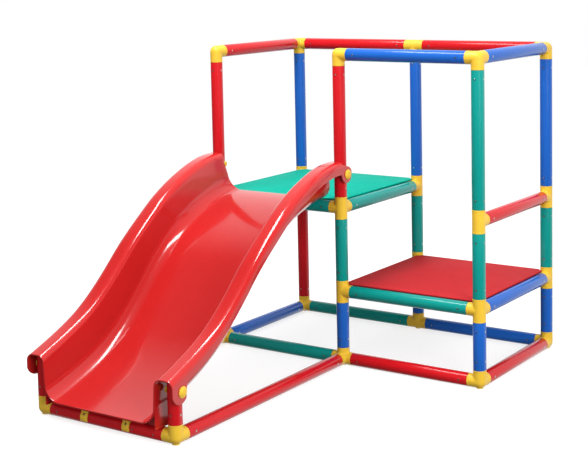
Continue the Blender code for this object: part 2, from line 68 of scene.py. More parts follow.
FRONT_Y = middle_of("tube_upper_front").y
BACK_Y = middle_of("tube_top_back_left").y
LEFT_X = middle_of("tube_top_left").x
MID_X = middle_of("tube_upper_middle").x
RIGHT_X = middle_of("tube_top_right").x
SLIDE_Y = middle_of("tube_floor_slide_front").y
POSTS = {
    "front_left": (LEFT_X, FRONT_Y),
    "front_mid": (MID_X, FRONT_Y),
    "front_right": (RIGHT_X, FRONT_Y),
    "back_left": (LEFT_X, BACK_Y),
    "back_mid": (MID_X, BACK_Y),
    "back_right": (RIGHT_X, BACK_Y),
    "slide_left": (LEFT_X, SLIDE_Y),
    "slide_right": (MID_X, SLIDE_Y),
}
LEVELS = {
    "floor": middle_of("tube_floor_front_left").z,
    "lower": middle_of("tube_lower_front").z,
    "upper": middle_of("tube_upper_front").z,
    "top": middle_of("tube_top_left").z,
}
PITCH = MID_X - LEFT_X
SLIDE_POST_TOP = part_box("upright_slide_left")[1].z
# the slide is shaped from the front left upright's centre at the floor tubes' height
SLIDE_ORIGIN = Vector((LEFT_X, FRONT_Y, LEVELS["floor"]))

# level tubes: name, level, from post, to post, colour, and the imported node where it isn't named alike
RAILS = (
    ("floor_slide_front", "floor", "slide_left", "slide_right", "red"),
    ("floor_slide_right", "floor", "slide_right", "front_mid", "red"),
    ("floor_slide_left", "floor", "slide_left", "front_left", "red", "corner_floor_front_left"),
    ("floor_left", "floor", "front_left", "back_left", "blue"),
    ("floor_front_left", "floor", "front_left", "front_mid", "green"),
    ("floor_back_left", "floor", "back_left", "back_mid", "green"),
    ("floor_front_right", "floor", "front_mid", "front_right", "red"),
    ("floor_back_right", "floor", "back_mid", "back_right", "blue"),
    ("floor_right", "floor", "front_right", "back_right", "red"),
    ("lower_front", "lower", "front_mid", "front_right", "green"),
    ("lower_right", "lower", "front_right", "back_right", "blue"),
    ("lower_middle", "lower", "front_mid", "back_mid", "green", "corner_lower_back_mid"),
    ("lower_back", "lower", "back_mid", "back_right", "green", "corner_lower_back_mid"),
    ("upper_front", "upper", "front_left", "front_mid", "green"),
    ("upper_middle", "upper", "front_mid", "back_mid", "green"),
    ("upper_left", "upper", "front_left", "back_left", "green", "corner_upper_back_left"),
    ("upper_back", "upper", "back_left", "back_mid", "green", "corner_upper_back_left"),
    ("rail_right", "upper", "front_right", "back_right", "red"),
    ("top_left", "top", "front_left", "back_left", "red"),
    ("top_back_left", "top", "back_left", "back_mid", "red"),
    ("top_back_right", "top", "back_mid", "back_right", "red"),
    ("top_front_right", "top", "front_mid", "front_right", "blue"),
    ("top_right", "top", "front_right", "back_right", "blue"),
)
# uprights: post, from level, to level, colour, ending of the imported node's name
UPRIGHTS = (
    ("front_left", "floor", "upper", "blue", "lower_half"),
    ("front_left", "upper", "top", "red", "upper_top"),
    ("back_left", "floor", "upper", "red", "lower_half"),
    ("back_left", "upper", "top", "blue", "upper_half"),
    ("front_mid", "floor", "lower", "blue", "floor_lower"),
    ("front_mid", "lower", "upper", "green", "lower_upper"),
    ("front_mid", "upper", "top", "red", "upper_top"),
    ("back_mid", "floor", "lower", "blue", "foot"),
    ("back_mid", "lower", "upper", "green", "middle"),
    ("back_mid", "upper", "top", "blue", "upper_half"),
    ("front_right", "floor", "lower", "blue", "floor_lower"),
    ("front_right", "lower", "upper", "green", "lower_upper"),
    ("front_right", "upper", "top", "green", "upper_top"),
    ("back_right", "floor", "lower", "blue", "foot"),
    ("back_right", "lower", "upper", "green", "middle"),
    ("back_right", "upper", "top", "blue", "upper_half"),
)
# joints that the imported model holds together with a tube: (post, level) to node
JOINT_NODES = {
    ("back_left", "upper"): "corner_upper_back_left",
    ("back_mid", "lower"): "corner_lower_back_mid",
    ("front_left", "floor"): "corner_floor_front_left",
    ("front_left", "upper"): "upright_front_left_lower_half",
    ("back_left", "top"): "upright_back_left_upper_half",
    ("back_mid", "top"): "upright_back_mid_upper_half",
    ("back_right", "top"): "upright_back_right_upper_half",
    ("back_left", "floor"): "upright_back_left_lower_half",
    ("back_mid", "floor"): "upright_back_mid_foot",
    ("back_right", "floor"): "upright_back_right_foot",
    ("back_right", "upper"): "upright_back_right_middle",
    ("back_mid", "upper"): "upright_back_mid_middle",
}

AXIS_X, AXIS_Y, AXIS_Z = Vector((1, 0, 0)), Vector((0, 1, 0)), Vector((0, 0, 1))
FILLET_POINTS = 3           # points in the rounding of a tube's cut end
TUBE_GAP = 0.0002           # from a joint's shoulder to the tube's cut end
COLLAR_PROUD = 0.0003       # how far a joint's collar stands above its core
CORE_SHORT = 0.002          # how far the core stops short of the arm's end
SPIGOT_GAP = 0.0003         # between a spigot and the tube's bore

# height of the slide's bed and of its rim: (y, height, slope), from SLIDE_ORIGIN
BED_LINE = (
    (-1.029, 0.042, 0.25),
    (-0.830, 0.107, 0.40),
    (-0.602, 0.250, 0.95),
    (-0.424, 0.428, 0.92),
    (-0.208, 0.553, 0.38),
    (0.003, 0.6055, 0.05),
    (0.027, 0.606, 0.0),
)
RIM_LINE = (
    (-1.029, 0.193, 0.38),
    (-0.830, 0.277, 0.52),
    (-0.602, 0.456, 0.97),
    (-0.424, 0.600, 0.75),
    (-0.208, 0.716, 0.38),
    (-0.060, 0.751, 0.05),
    (0.027, 0.752, 0.0),
)
# rear edge of the slide's walls: (height, y)
WALL_END = ((0.615, 0.003), (0.630, 0.000), (0.665, -0.008), (0.715, -0.026))
SLIDE_NOSE = -1.0285    # front edge of the slide
# round ears of the lip about the bolts: (y, height, radius)
EARS = ((-0.005, 0.703, 0.032), (-0.991, 0.150, 0.0375))
EAR_CROWN = 0.875       # share of an upper ear's radius above which its edge leaves the circle
EAR_NECK = 0.0374       # height above an upper ear's centre where the rim takes over
STATION_CROWDING = 0.085    # how much closer the sections stand towards the slide's ends
EAR_ROWS, WALL_END_ROWS = 14, 6
BOLT_Y_Z = {"upper": (0.0, 0.703), "lower": (-0.981, 0.150)}
CLIP_X = (0.2005, 0.3835)


# ---------------------------------------------------------------- sizes and colours to change
class ClimbingFrameSizes(bpy.types.PropertyGroup):
    """Sizes of the tubes, joints, screws and boards."""

    tube_diameter: FloatProperty(
        name="Tube diameter", description="Outside of a tube at its joint",
        default=0.048, min=0.03, max=0.08, unit="LENGTH")
    tube_relief: FloatProperty(
        name="Tube relief", description="How far the tube's face lies below the joint's collar",
        default=0.0003, min=0.0, max=0.002, unit="LENGTH")
    tube_wall: FloatProperty(
        name="Tube wall", description="Wall of a tube",
        default=0.0025, min=0.001, max=0.006, unit="LENGTH")
    tube_end_round: FloatProperty(
        name="Tube end rounding", description="Rounding of a tube's cut ends",
        default=0.0007, min=0.0001, max=0.001, unit="LENGTH")
    facets: IntProperty(
        name="Facets", description="Facets round a tube and round a joint's arm",
        default=56, min=24, max=96)
    joint_arm: FloatProperty(
        name="Joint arm", description="From a joint's centre to the shoulder the tube meets",
        default=0.042, min=0.03, max=0.08, unit="LENGTH")
    spigot: FloatProperty(
        name="Spigot", description="Length of joint inside each tube",
        default=0.045, min=0.02, max=0.08, unit="LENGTH")
    collar_width: FloatProperty(
        name="Collar width", description="Raised band at the end of each joint arm",
        default=0.0045, min=0.002, max=0.01, unit="LENGTH")
    joint_grid: FloatProperty(
        name="Joint grid", description="Grid that the joint's middle is shaped on",
        default=0.0016, min=0.001, max=0.004, unit="LENGTH")
    pad_radius: FloatProperty(
        name="Foot radius", description="Flat foot under each floor joint",
        default=0.013, min=0.005, max=0.02, unit="LENGTH")
    screw_diameter: FloatProperty(
        name="Screw head", description="Diameter of the small screws' heads",
        default=0.0076, min=0.005, max=0.012, unit="LENGTH")
    screw_place: FloatProperty(
        name="Screw place", description="From a joint's shoulder to the screw",
        default=0.0325, min=0.01, max=0.06, unit="LENGTH")
    board_thickness: FloatProperty(
        name="Board thickness", description="Thickness of a deck board",
        default=0.006, min=0.003, max=0.02, unit="LENGTH")
    board_notch: FloatProperty(
        name="Board notch", description="Radius of the notch round each upright",
        default=0.0275, min=0.024, max=0.05, unit="LENGTH")
    board_edge_round: FloatProperty(
        name="Board edge rounding", description="Rounding of the board's edges",
        default=0.0018, min=0.0002, max=0.003, unit="LENGTH")


class SlideSizes(bpy.types.PropertyGroup):
    """Sizes of the moulded slide."""

    skin: FloatProperty(
        name="Skin", description="Thickness of the moulding",
        default=0.005, min=0.002, max=0.01, unit="LENGTH")
    rim_out: FloatProperty(
        name="Rim outside", description="Outer lip's face, outside the upright's centre",
        default=0.0326, min=0.028, max=0.05, unit="LENGTH")
    rim_in: FloatProperty(
        name="Rim inside", description="Inner wall's face at the rim, inside the upright's centre",
        default=0.0455, min=0.03, max=0.08, unit="LENGTH")
    rim_round: FloatProperty(
        name="Rim rounding", description="Radius of the rim's shoulders",
        default=0.026, min=0.01, max=0.03, unit="LENGTH")
    lip_drop: FloatProperty(
        name="Lip", description="Lower edge of the outer lip below the rim's top",
        default=0.045, min=0.03, max=0.08, unit="LENGTH")
    wall_foot: FloatProperty(
        name="Wall foot", description="Inner wall's face where the bed's fillet starts",
        default=0.0495, min=0.03, max=0.08, unit="LENGTH")
    bed_fillet: FloatProperty(
        name="Bed fillet", description="Radius between wall and bed",
        default=0.057, min=0.02, max=0.09, unit="LENGTH")
    edge_round: FloatProperty(
        name="Edge rounding", description="Rounding of the moulding's trimmed edges",
        default=0.0014, min=0.0002, max=0.002, unit="LENGTH")
    stations: IntProperty(
        name="Stations", description="Cross-sections along the slide", default=118, min=30, max=240)


class FinishColours(bpy.types.PropertyGroup):
    """Colours of the plastics and metal."""

    red_tube: FloatVectorProperty(
        name="Red tube", description="Red of the tubes", subtype="COLOR", size=3,
        default=(0.46, 0.006, 0.01), min=0, max=1)
    blue_tube: FloatVectorProperty(
        name="Blue tube", description="Blue of the tubes", subtype="COLOR", size=3,
        default=(0.009, 0.088, 0.385), min=0, max=1)
    green_tube: FloatVectorProperty(
        name="Green tube", description="Sea green of the tubes", subtype="COLOR", size=3,
        default=(0.002, 0.225, 0.195), min=0, max=1)
    yellow_joint: FloatVectorProperty(
        name="Yellow joint", description="Yellow of the mouldings", subtype="COLOR", size=3,
        default=(0.64, 0.4, 0.03), min=0, max=1)
    green_board: FloatVectorProperty(
        name="Green board", description="Sea green of the upper board", subtype="COLOR", size=3,
        default=(0.003, 0.32, 0.235), min=0, max=1)
    red_board: FloatVectorProperty(
        name="Red board", description="Red of the lower board", subtype="COLOR", size=3,
        default=(0.4, 0.022, 0.026), min=0, max=1)
    red_slide: FloatVectorProperty(
        name="Red slide", description="Red of the slide", subtype="COLOR", size=3,
        default=(0.39, 0.011, 0.011), min=0, max=1)
    screw_metal: FloatVectorProperty(
        name="Screw metal", description="Zinc of the screws and nuts", subtype="COLOR", size=3,
        default=(0.46, 0.45, 0.42), min=0, max=1)


class StageSettings(bpy.types.PropertyGroup):
    """Camera and light."""

    lens: FloatProperty(
        name="Lens", description="Focal length in millimetres on a 36 mm sensor", default=79.92)
    overhead: FloatProperty(
        name="Overhead light", description="Power of the wide overhead soft light", default=80.0)
    strip: FloatProperty(
        name="Strip light", description="Power of the overhead light seen in the gloss", default=56.0)
    right: FloatProperty(
        name="Right fill", description="Power of the soft light from the right", default=145.0)
    front: FloatProperty(
        name="Front fill", description="Power of the soft light from the front", default=31.0)
    surround: FloatProperty(
        name="Surround", description="Brightness of the white surroundings", default=0.72)
    mirrored_back: FloatProperty(
        name="Mirrored back wall", description="Brightness of the back wall in the gloss", default=1.2)
    mirrored_front: FloatProperty(
        name="Mirrored front", description="Brightness of the front of the room in the gloss", default=0.12)


# ---------------------------------------------------------------- mesh helpers
def sides_of(direction):
    """Two world axes square to a level or upright direction."""
    along = max(range(3), key=lambda i: abs(direction[i]))
    return [axis for i, axis in enumerate((AXIS_X, AXIS_Y, AXIS_Z)) if i != along]


def turned(start, direction, outline, sides, finish=0):
    """Closed solid of revolution; outline is a run of (distance along, radius), closed at both ends."""
    u, v = sides_of(direction)
    made = bmesh.new()
    rings = []
    for distance, radius in outline:
        centre = start + direction * distance
        if radius == 0:
            rings.append([made.verts.new(centre)])
            continue
        ring = []
        for i in range(sides):
            angle = 2 * math.pi * i / sides
            point = centre + radius * (u * math.cos(angle) + v * math.sin(angle))
            ring.append(made.verts.new(point))
        rings.append(ring)
    for first, second in zip(rings, rings[1:]):
        for i in range(sides):
            j = (i + 1) % sides
            corners = [first[i % len(first)], first[j % len(first)]]
            corners += [second[j % len(second)], second[i % len(second)]]
            made.faces.new(list(dict.fromkeys(corners)))
    for ring in (rings[0], rings[-1]):
        if len(ring) > 1:
            made.faces.new(ring)
    for face in made.faces:
        face.material_index = finish
    return made


def join_loops(made, first, second):
    """Faces between two matching loops of vertices."""
    for i in range(len(first)):
        j = (i + 1) % len(first)
        made.faces.new((first[i], first[j], second[j], second[i]))


def prism(near, far):
    """Closed solid between two matching loops of points."""
    made = bmesh.new()
    first = [made.verts.new(point) for point in near]
    second = [made.verts.new(point) for point in far]
    made.faces.new(first)
    made.faces.new(second)
    join_loops(made, first, second)
    return made


def block(low, high):
    """Box between two corners."""
    made = bmesh.new()
    bmesh.ops.create_cube(made, size=1)
    for vert in made.verts:
        for axis in range(3):
            vert.co[axis] = low[axis] if vert.co[axis] < 0 else high[axis]
    return made


def object_from(name, mesh_data):
    """Puts a mesh under construction into the scene as an object."""
    bmesh.ops.recalc_face_normals(mesh_data, faces=mesh_data.faces)
    mesh = bpy.data.meshes.new(name)
    mesh_data.to_mesh(mesh)
    mesh_data.free()
    obj = bpy.data.objects.new(name, mesh)
    bpy.context.scene.collection.objects.link(obj)
    return obj


def take_modifiers(obj):
    """Turns an object with modifiers into a plain mesh."""
    bpy.context.view_layer.update()
    graph = bpy.context.evaluated_depsgraph_get()
    result = bpy.data.meshes.new_from_object(obj.evaluated_get(graph))
    obj.modifiers.clear()
    spent = obj.data
    obj.data = result
    result.name = obj.name
    if spent.users == 0:
        bpy.data.meshes.remove(spent)
    return obj


def combine(target, other, operation):
    """Boolean of two closed solids; the second one is used up."""
    modifier = target.modifiers.new("combine", "BOOLEAN")
    modifier.operation = operation
    modifier.solver = "MANIFOLD"
    modifier.object = other
    take_modifiers(target)
    bpy.data.objects.remove(other)
    if not target.data.polygons:
        raise RuntimeError(target.name + " came out empty")


def bevelled(obj, width, angle, segments):
    """Rounds the edges sharper than an angle in degrees."""
    modifier = obj.modifiers.new("edges", "BEVEL")
    modifier.width = width
    modifier.segments = segments
    modifier.limit_method = "ANGLE"
    modifier.angle_limit = math.radians(angle)
    modifier.use_clamp_overlap = True
    take_modifiers(obj)


def smooth(obj, angle):
    """Smooth shading, but for edges sharper than an angle in degrees."""
    obj.data.shade_smooth()
    obj.data.set_sharp_from_angle(angle=math.radians(angle))


def turn_outwards(mesh):
    """Turns a closed mesh right side out by the sign of its volume."""
    mesh.calc_loop_triangles()
    corners = np.empty(len(mesh.loop_triangles) * 3, np.int32)
    mesh.loop_triangles.foreach_get("vertices", corners)
    places = np.empty(len(mesh.vertices) * 3, np.float32)
    mesh.vertices.foreach_get("co", places)
    a, b, c = np.moveaxis(places.reshape(-1, 3)[corners.reshape(-1, 3)].astype(float), 1, 0)
    if np.einsum("ij,ij->", a, np.cross(b, c)) < 0:
        mesh.flip_normals()


def finish_named(name):
    """The scene's own finish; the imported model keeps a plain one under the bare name."""
    return bpy.data.materials[name + "_finish"]


def settle(obj, finishes, slot, *nodes):
    """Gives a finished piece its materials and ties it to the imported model."""
    obj.data.materials.clear()
    for finish in finishes:
        obj.data.materials.append(finish_named(finish))
    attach(obj, "root")
    if nodes:
        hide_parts(*nodes)


def point_at(post, level):
    x, y = POSTS[post]
    return Vector((x, y, LEVELS[level]))


# a tube: piece name, joints at its two ends (the second may be missing), the points there, the way it
# runs, colour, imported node
Run = namedtuple("Run", "name first second start end along colour node")


def tube_runs():
    """Every tube of the frame."""
    runs = []

    def add(name, first, second, end, colour, node):
        start = point_at(*first)
        runs.append(Run(name, first, second, start, end, (end - start).normalized(), colour, node))

    for name, level, first, second, colour, *other in RAILS:
        node = other[0] if other else "tube_" + name
        add("pipe_" + name, (first, level), (second, level), point_at(second, level), colour, node)
    for post, low, high, colour, ending in UPRIGHTS:
        add("pole_" + post + "_" + low + "_" + high, (post, low), (post, high), point_at(post, high),
            colour, "upright_" + post + "_" + ending)
    for post in ("slide_left", "slide_right"):
        top = Vector((*POSTS[post], SLIDE_POST_TOP))
        add("pole_" + post, (post, "floor"), None, top, "red", "upright_" + post)
    return runs


# ---------------------------------------------------------------- node trees for shapes
class Tree:
    """Adds nodes to a tree, each with its settings, its values and its links."""

    def __init__(self, tree):
        self.tree = tree

    def add(self, kind, inputs=None, **settings):
        """Inputs go by name or number: a socket is linked, and anything else is set as the value."""
        node = self.tree.nodes.new(kind)
        for key, value in settings.items():
            setattr(node, key, value)
        for key, value in (inputs or {}).items():
            if isinstance(value, bpy.types.NodeSocket):
                self.link(value, node.inputs[key])
            else:
                node.inputs[key].default_value = value
        return node

    def link(self, source, target):
        self.tree.links.new(source, target)


def shape_tree(name, sockets):
    """Empty tree for a shape, with its named inputs."""
    tree = bpy.data.node_groups.new(name, "GeometryNodeTree")
    for label, kind in sockets:
        tree.interface.new_socket(label, in_out="INPUT", socket_type="NodeSocket" + kind)
    tree.interface.new_socket("Geometry", in_out="OUTPUT", socket_type="NodeSocketGeometry")
    t = Tree(tree)
    return t, t.add("NodeGroupInput").outputs


def painted_end(t, geometry, finish):
    """Ends a shape's tree: instances made real, the finish given, the mesh handed over."""
    realize = t.add("GeometryNodeRealizeInstances", {"Geometry": geometry})
    paint = t.add("GeometryNodeSetMaterial", {
        "Geometry": realize.outputs["Geometry"], "Material": finish})
    t.add("NodeGroupOutput", {"Geometry": paint.outputs["Geometry"]})
    return t.tree


def tube_tree():
    """Hollow tube between two points: a rounded strip carried round a circle, then turned into place."""
    t, given = shape_tree("hollow_tube", (
        ("Start", "Vector"), ("End", "Vector"), ("Outside Radius", "Float"), ("Wall", "Float"),
        ("End Rounding", "Float"), ("Facets", "Int"), ("Finish", "Material")))
    run = t.add("ShaderNodeVectorMath", {0: given["End"], 1: given["Start"]}, operation="SUBTRACT")
    length = t.add("ShaderNodeVectorMath", {0: run.outputs[0]}, operation="LENGTH")
    total = t.add("ShaderNodeVectorMath", {0: given["End"], 1: given["Start"]}, operation="ADD")
    middle = t.add("ShaderNodeVectorMath", {0: total.outputs[0]}, operation="SCALE")
    middle.inputs["Scale"].default_value = 0.5
    half_wall = t.add("ShaderNodeMath", {0: given["Wall"], 1: 0.5}, operation="MULTIPLY")
    centre_radius = t.add("ShaderNodeMath", {
        0: given["Outside Radius"], 1: half_wall.outputs[0]}, operation="SUBTRACT")
    strip = t.add("GeometryNodeCurvePrimitiveQuadrilateral", {
        "Width": given["Wall"], "Height": length.outputs["Value"]}, mode="RECTANGLE")
    fillet = t.add("GeometryNodeFilletCurve", {
        "Curve": strip.outputs["Curve"], "Count": FILLET_POINTS, "Limit Radius": True,
        "Radius": given["End Rounding"]}, mode="POLY")
    circle = t.add("GeometryNodeCurvePrimitiveCircle", {
        "Resolution": given["Facets"], "Radius": centre_radius.outputs[0]}, mode="RADIUS")
    sweep = t.add("GeometryNodeCurveToMesh", {
        "Curve": circle.outputs["Curve"], "Profile Curve": fillet.outputs["Curve"]})
    # the tube's own coordinates are kept, so that the draw lines run along it
    place = t.add("GeometryNodeInputPosition")
    note = t.add("GeometryNodeStoreNamedAttribute", data_type="FLOAT_VECTOR", domain="POINT")
    note.inputs["Name"].default_value = "tube_place"
    t.link(sweep.outputs["Mesh"], note.inputs["Geometry"])
    t.link(place.outputs["Position"], note.inputs["Value"])
    aim = t.add("FunctionNodeAlignRotationToVector", {"Vector": run.outputs[0]}, axis="Z")
    move = t.add("GeometryNodeTransform", {
        "Geometry": note.outputs["Geometry"], "Translation": middle.outputs[0],
        "Rotation": aim.outputs["Rotation"]})
    return painted_end(t, move.outputs["Geometry"], given["Finish"])


def scatter_tree():
    """Stands a small shape on every point, its own Z turned along the point's outward direction."""
    t, given = shape_tree("set_screws", (
        ("Places", "Geometry"), ("Shape", "Object"), ("Head Diameter", "Float"), ("Seed", "Int"),
        ("Finish", "Material")))
    shape = t.add("GeometryNodeObjectInfo", {"Object": given["Shape"]}, transform_space="ORIGINAL")
    outward = t.add("GeometryNodeInputNamedAttribute", data_type="FLOAT_VECTOR")
    outward.inputs["Name"].default_value = "outward"
    aim = t.add("FunctionNodeAlignRotationToVector", {"Vector": outward.outputs["Attribute"]}, axis="Z")
    spin = t.add("FunctionNodeRandomValue", {2: 0.0, 3: math.tau, "Seed": given["Seed"]}, data_type="FLOAT")
    own_turn = t.add("ShaderNodeCombineXYZ", {"Z": spin.outputs[1]})
    turn = t.add("FunctionNodeEulerToRotation", {"Euler": own_turn.outputs["Vector"]})
    both = t.add("FunctionNodeRotateRotation", {
        "Rotation": aim.outputs["Rotation"], "Rotate By": turn.outputs["Rotation"]}, rotation_space="LOCAL")
    stand = t.add("GeometryNodeInstanceOnPoints", {
        "Points": given["Places"], "Instance": shape.outputs["Geometry"],
        "Rotation": both.outputs["Rotation"], "Scale": given["Head Diameter"]})
    return painted_end(t, stand.outputs["Instances"], given["Finish"])


def grown(name, tree, values, mesh=None):
    """An object made by a node tree, its named inputs set before it is first worked out."""
    obj = bpy.data.objects.new(name, mesh or bpy.data.meshes.new(name))
    modifier = obj.modifiers.new("shape", "NODES")
    modifier.node_group = tree
    keys = {item.name: item.identifier for item in tree.interface.items_tree
            if item.item_type == "SOCKET" and item.in_out == "INPUT"}
    for label, value in values.items():
        modifier[keys[label]] = value
    bpy.context.scene.collection.objects.link(obj)
    return take_modifiers(obj)


# ---------------------------------------------------------------- materials
def new_finish(name, colour, roughness, specular=0.5):
    """A finish to be worked up: its tree, its shader and the place on the piece."""
    made = bpy.data.materials.new(name + "_finish")
    made.use_nodes = True
    made.diffuse_color = (*colour, 1)
    shader = made.node_tree.nodes["Principled BSDF"]
    shader.inputs["Roughness"].default_value = roughness
    shader.inputs["Specular IOR Level"].default_value = specular
    t = Tree(made.node_tree)
    return t, shader, t.add("ShaderNodeTexCoord").outputs["Object"]


def noise(t, vector, scale, detail=2.0, roughness=0.5):
    return t.add("ShaderNodeTexNoise", {
        "Vector": vector, "Scale": scale, "Detail": detail, "Roughness": roughness}).outputs["Fac"]


def stretched(t, vector, scale):
    return t.add("ShaderNodeMapping", {"Vector": vector, "Scale": scale}).outputs["Vector"]


def ranged(t, value, low, high, to_low, to_high):
    return t.add("ShaderNodeMapRange", {
        "Value": value, "From Min": low, "From Max": high, "To Min": to_low, "To Max": to_high,
    }).outputs["Result"]


def maths(t, operation, first, second):
    return t.add("ShaderNodeMath", {0: first, 1: second}, operation=operation).outputs[0]


def shaded_colour(t, shader, colour, value, darker, lighter):
    """Base colour that wanders between a darker and a lighter tone of itself."""
    deep = [c * darker for c in colour]
    pale = [min(1.0, c * lighter + 0.004 * (lighter - 1)) for c in colour]
    node = t.add("ShaderNodeMix", {"A": (*deep, 1), "B": (*pale, 1), "Factor": value}, data_type="RGBA")
    t.link(node.outputs["Result"], shader.inputs["Base Color"])


def bumped(t, shader, height, strength, distance, after=None):
    inputs = {"Strength": strength, "Distance": distance, "Height": height}
    if after:
        inputs["Normal"] = after
    node = t.add("ShaderNodeBump", inputs)
    t.link(node.outputs["Normal"], shader.inputs["Normal"])
    return node.outputs["Normal"]


def tube_finish(name, colour):
    """Drawn plastic tube: fine draw lines along it, faint cloudiness, light scuffs."""
    t, shader, place = new_finish(name, colour, 0.22, 0.36)
    own = t.add("ShaderNodeAttribute", attribute_name="tube_place").outputs["Vector"]
    lines = noise(t, stretched(t, own, (520.0, 520.0, 3.0)), 1.0, 3.0, 0.6)
    cloud = noise(t, place, 7.0, 3.0, 0.6)
    scuffs = ranged(t, noise(t, stretched(t, own, (90.0, 90.0, 26.0)), 1.0, 5.0, 0.65), 0.60, 0.74, 0.0, 1.0)
    shaded_colour(t, shader, colour, cloud, 0.92, 1.07)
    base = ranged(t, lines, 0.3, 0.7, 0.18, 0.23)
    t.link(maths(t, "ADD", base, maths(t, "MULTIPLY", scuffs, 0.10)), shader.inputs["Roughness"])
    first = bumped(t, shader, lines, 0.07, 0.00010)
    bumped(t, shader, noise(t, place, 46.0, 2.0), 0.06, 0.0005, first)


def joint_finish(name, colour):
    """Moulded plastic: fine spark-eroded grain and faint flow marks."""
    t, shader, place = new_finish(name, colour, 0.34, 0.36)
    grain = noise(t, place, 1500.0, 2.0, 0.6)
    flow = noise(t, stretched(t, place, (24.0, 24.0, 60.0)), 1.0, 4.0, 0.6)
    cloud = noise(t, place, 16.0, 3.0, 0.55)
    shaded_colour(t, shader, colour, cloud, 0.90, 1.08)
    t.link(ranged(t, flow, 0.25, 0.75, 0.28, 0.42), shader.inputs["Roughness"])
    first = bumped(t, shader, grain, 0.25, 0.00008)
    bumped(t, shader, flow, 0.10, 0.0005, first)


def board_finish(name, colour):
    """Deck board: pebbled grain against slipping, soft mottling, rubbed spots."""
    t, shader, place = new_finish(name, colour, 0.6, 0.02)
    pebble = t.add("ShaderNodeTexVoronoi", {
        "Vector": place, "Scale": 420.0, "Smoothness": 0.5}, feature="SMOOTH_F1")
    mottle = noise(t, place, 11.0, 5.0, 0.62)
    worn = noise(t, place, 2.6, 4.0, 0.6)
    speck = noise(t, place, 260.0, 2.0, 0.5)
    tone = maths(t, "ADD", maths(t, "MULTIPLY", mottle, 0.75), maths(t, "MULTIPLY", speck, 0.25))
    shaded_colour(t, shader, colour, tone, 0.86, 1.15)
    t.link(ranged(t, worn, 0.3, 0.7, 0.54, 0.68), shader.inputs["Roughness"])
    first = bumped(t, shader, pebble.outputs["Distance"], 0.35, 0.00022)
    bumped(t, shader, worn, 0.12, 0.0015, first)


def slide_finish(name, colour):
    """Polished moulding: slow waves in the gloss, fine scratches down the bed, cloudy depth."""
    t, shader, place = new_finish(name, colour, 0.17, 0.42)
    shader.inputs["Coat Weight"].default_value = 0.4
    shader.inputs["Coat Roughness"].default_value = 0.05
    waves = noise(t, stretched(t, place, (7.0, 4.0, 7.0)), 1.0, 2.0, 0.45)
    peel = noise(t, place, 70.0, 2.0, 0.5)
    scratches = noise(t, stretched(t, place, (700.0, 9.0, 9.0)), 1.0, 3.0, 0.7)
    lane = noise(t, stretched(t, place, (9.0, 1.6, 1.6)), 1.0, 2.0, 0.5)
    cloud = noise(t, place, 5.0, 3.0, 0.55)
    shaded_colour(t, shader, colour, cloud, 0.93, 1.06)
    rubbed = maths(t, "MULTIPLY", ranged(t, scratches, 0.52, 0.75, 0.0, 1.0),
                   ranged(t, lane, 0.4, 0.65, 0.2, 1.0))
    t.link(maths(t, "ADD", ranged(t, cloud, 0.3, 0.7, 0.13, 0.19), maths(t, "MULTIPLY", rubbed, 0.16)),
           shader.inputs["Roughness"])
    first = bumped(t, shader, waves, 0.22, 0.004)
    second = bumped(t, shader, peel, 0.06, 0.0006, first)
    bumped(t, shader, rubbed, 0.10, 0.00006, second)


def screw_finish(name, colour):
    """Zinc-plated steel with a faint warm tint and turned marks."""
    t, shader, place = new_finish(name, colour, 0.3)
    shader.inputs["Metallic"].default_value = 1.0
    tint = noise(t, place, 60.0, 2.0)
    marks = noise(t, stretched(t, place, (900.0, 900.0, 2400.0)), 1.0, 2.0)
    shaded_colour(t, shader, colour, tint, 0.86, 1.12)
    t.link(ranged(t, marks, 0.3, 0.7, 0.22, 0.42), shader.inputs["Roughness"])
    bumped(t, shader, marks, 0.2, 0.00005)


def floor_finish():
    """Pale seamless floor."""
    grey = (0.4, 0.4, 0.4)
    t, shader, place = new_finish("studio_floor", grey, 0.85, 0.1)
    shader.inputs["Emission Color"].default_value = (1, 1, 1, 1)
    shader.inputs["Emission Strength"].default_value = 0.72
    shaded_colour(t, shader, grey, noise(t, place, 3.0), 0.995, 1.005)


class FRAME_OT_finishes(bpy.types.Operator):
    """Makes the plastics, the screw metal and the studio floor's paint"""

    bl_idname = "climbing_frame.finishes"
    bl_label = "Make finishes"

    def execute(self, context):
        colours = context.scene.climbing_frame_colours
        for name in ("red_tube", "blue_tube", "green_tube"):
            tube_finish(name, getattr(colours, name))
        joint_finish("yellow_joint", colours.yellow_joint)
        board_finish("green_board", colours.green_board)
        board_finish("red_board", colours.red_board)
        slide_finish("red_slide", colours.red_slide)
        screw_finish("screw_metal", colours.screw_metal)
        floor_finish()
        return {"FINISHED"}


# ---------------------------------------------------------------- tubes
class FRAME_OT_tubes(bpy.types.Operator):
    """Makes every tube between its two joints"""

    bl_idname = "climbing_frame.tubes"
    bl_label = "Make tubes"

    def execute(self, context):
        sizes = context.scene.climbing_frame_sizes
        tree = tube_tree()
        reach = sizes.joint_arm + TUBE_GAP
        for run in tube_runs():
            finish = run.colour + "_tube"
            pipe = grown(run.name, tree, {
                "Start": run.start + run.along * reach,
                "End": run.end - run.along * reach if run.second else run.end,
                "Outside Radius": sizes.tube_diameter / 2 - sizes.tube_relief,
                "Wall": sizes.tube_wall, "End Rounding": sizes.tube_end_round,
                "Facets": sizes.facets, "Finish": finish_named(finish)})
            turn_outwards(pipe.data)
            smooth(pipe, 20)
            settle(pipe, [finish], finish, run.node)
        return {"FINISHED"}


# ---------------------------------------------------------------- joints
def ball_outline(radius, rings):
    """Outline that turns into a ball."""
    outline = [(-radius * math.cos(math.pi * i / rings), radius * math.sin(math.pi * i / rings))
               for i in range(1, rings)]
    return [(-radius, 0)] + outline + [(radius, 0)]


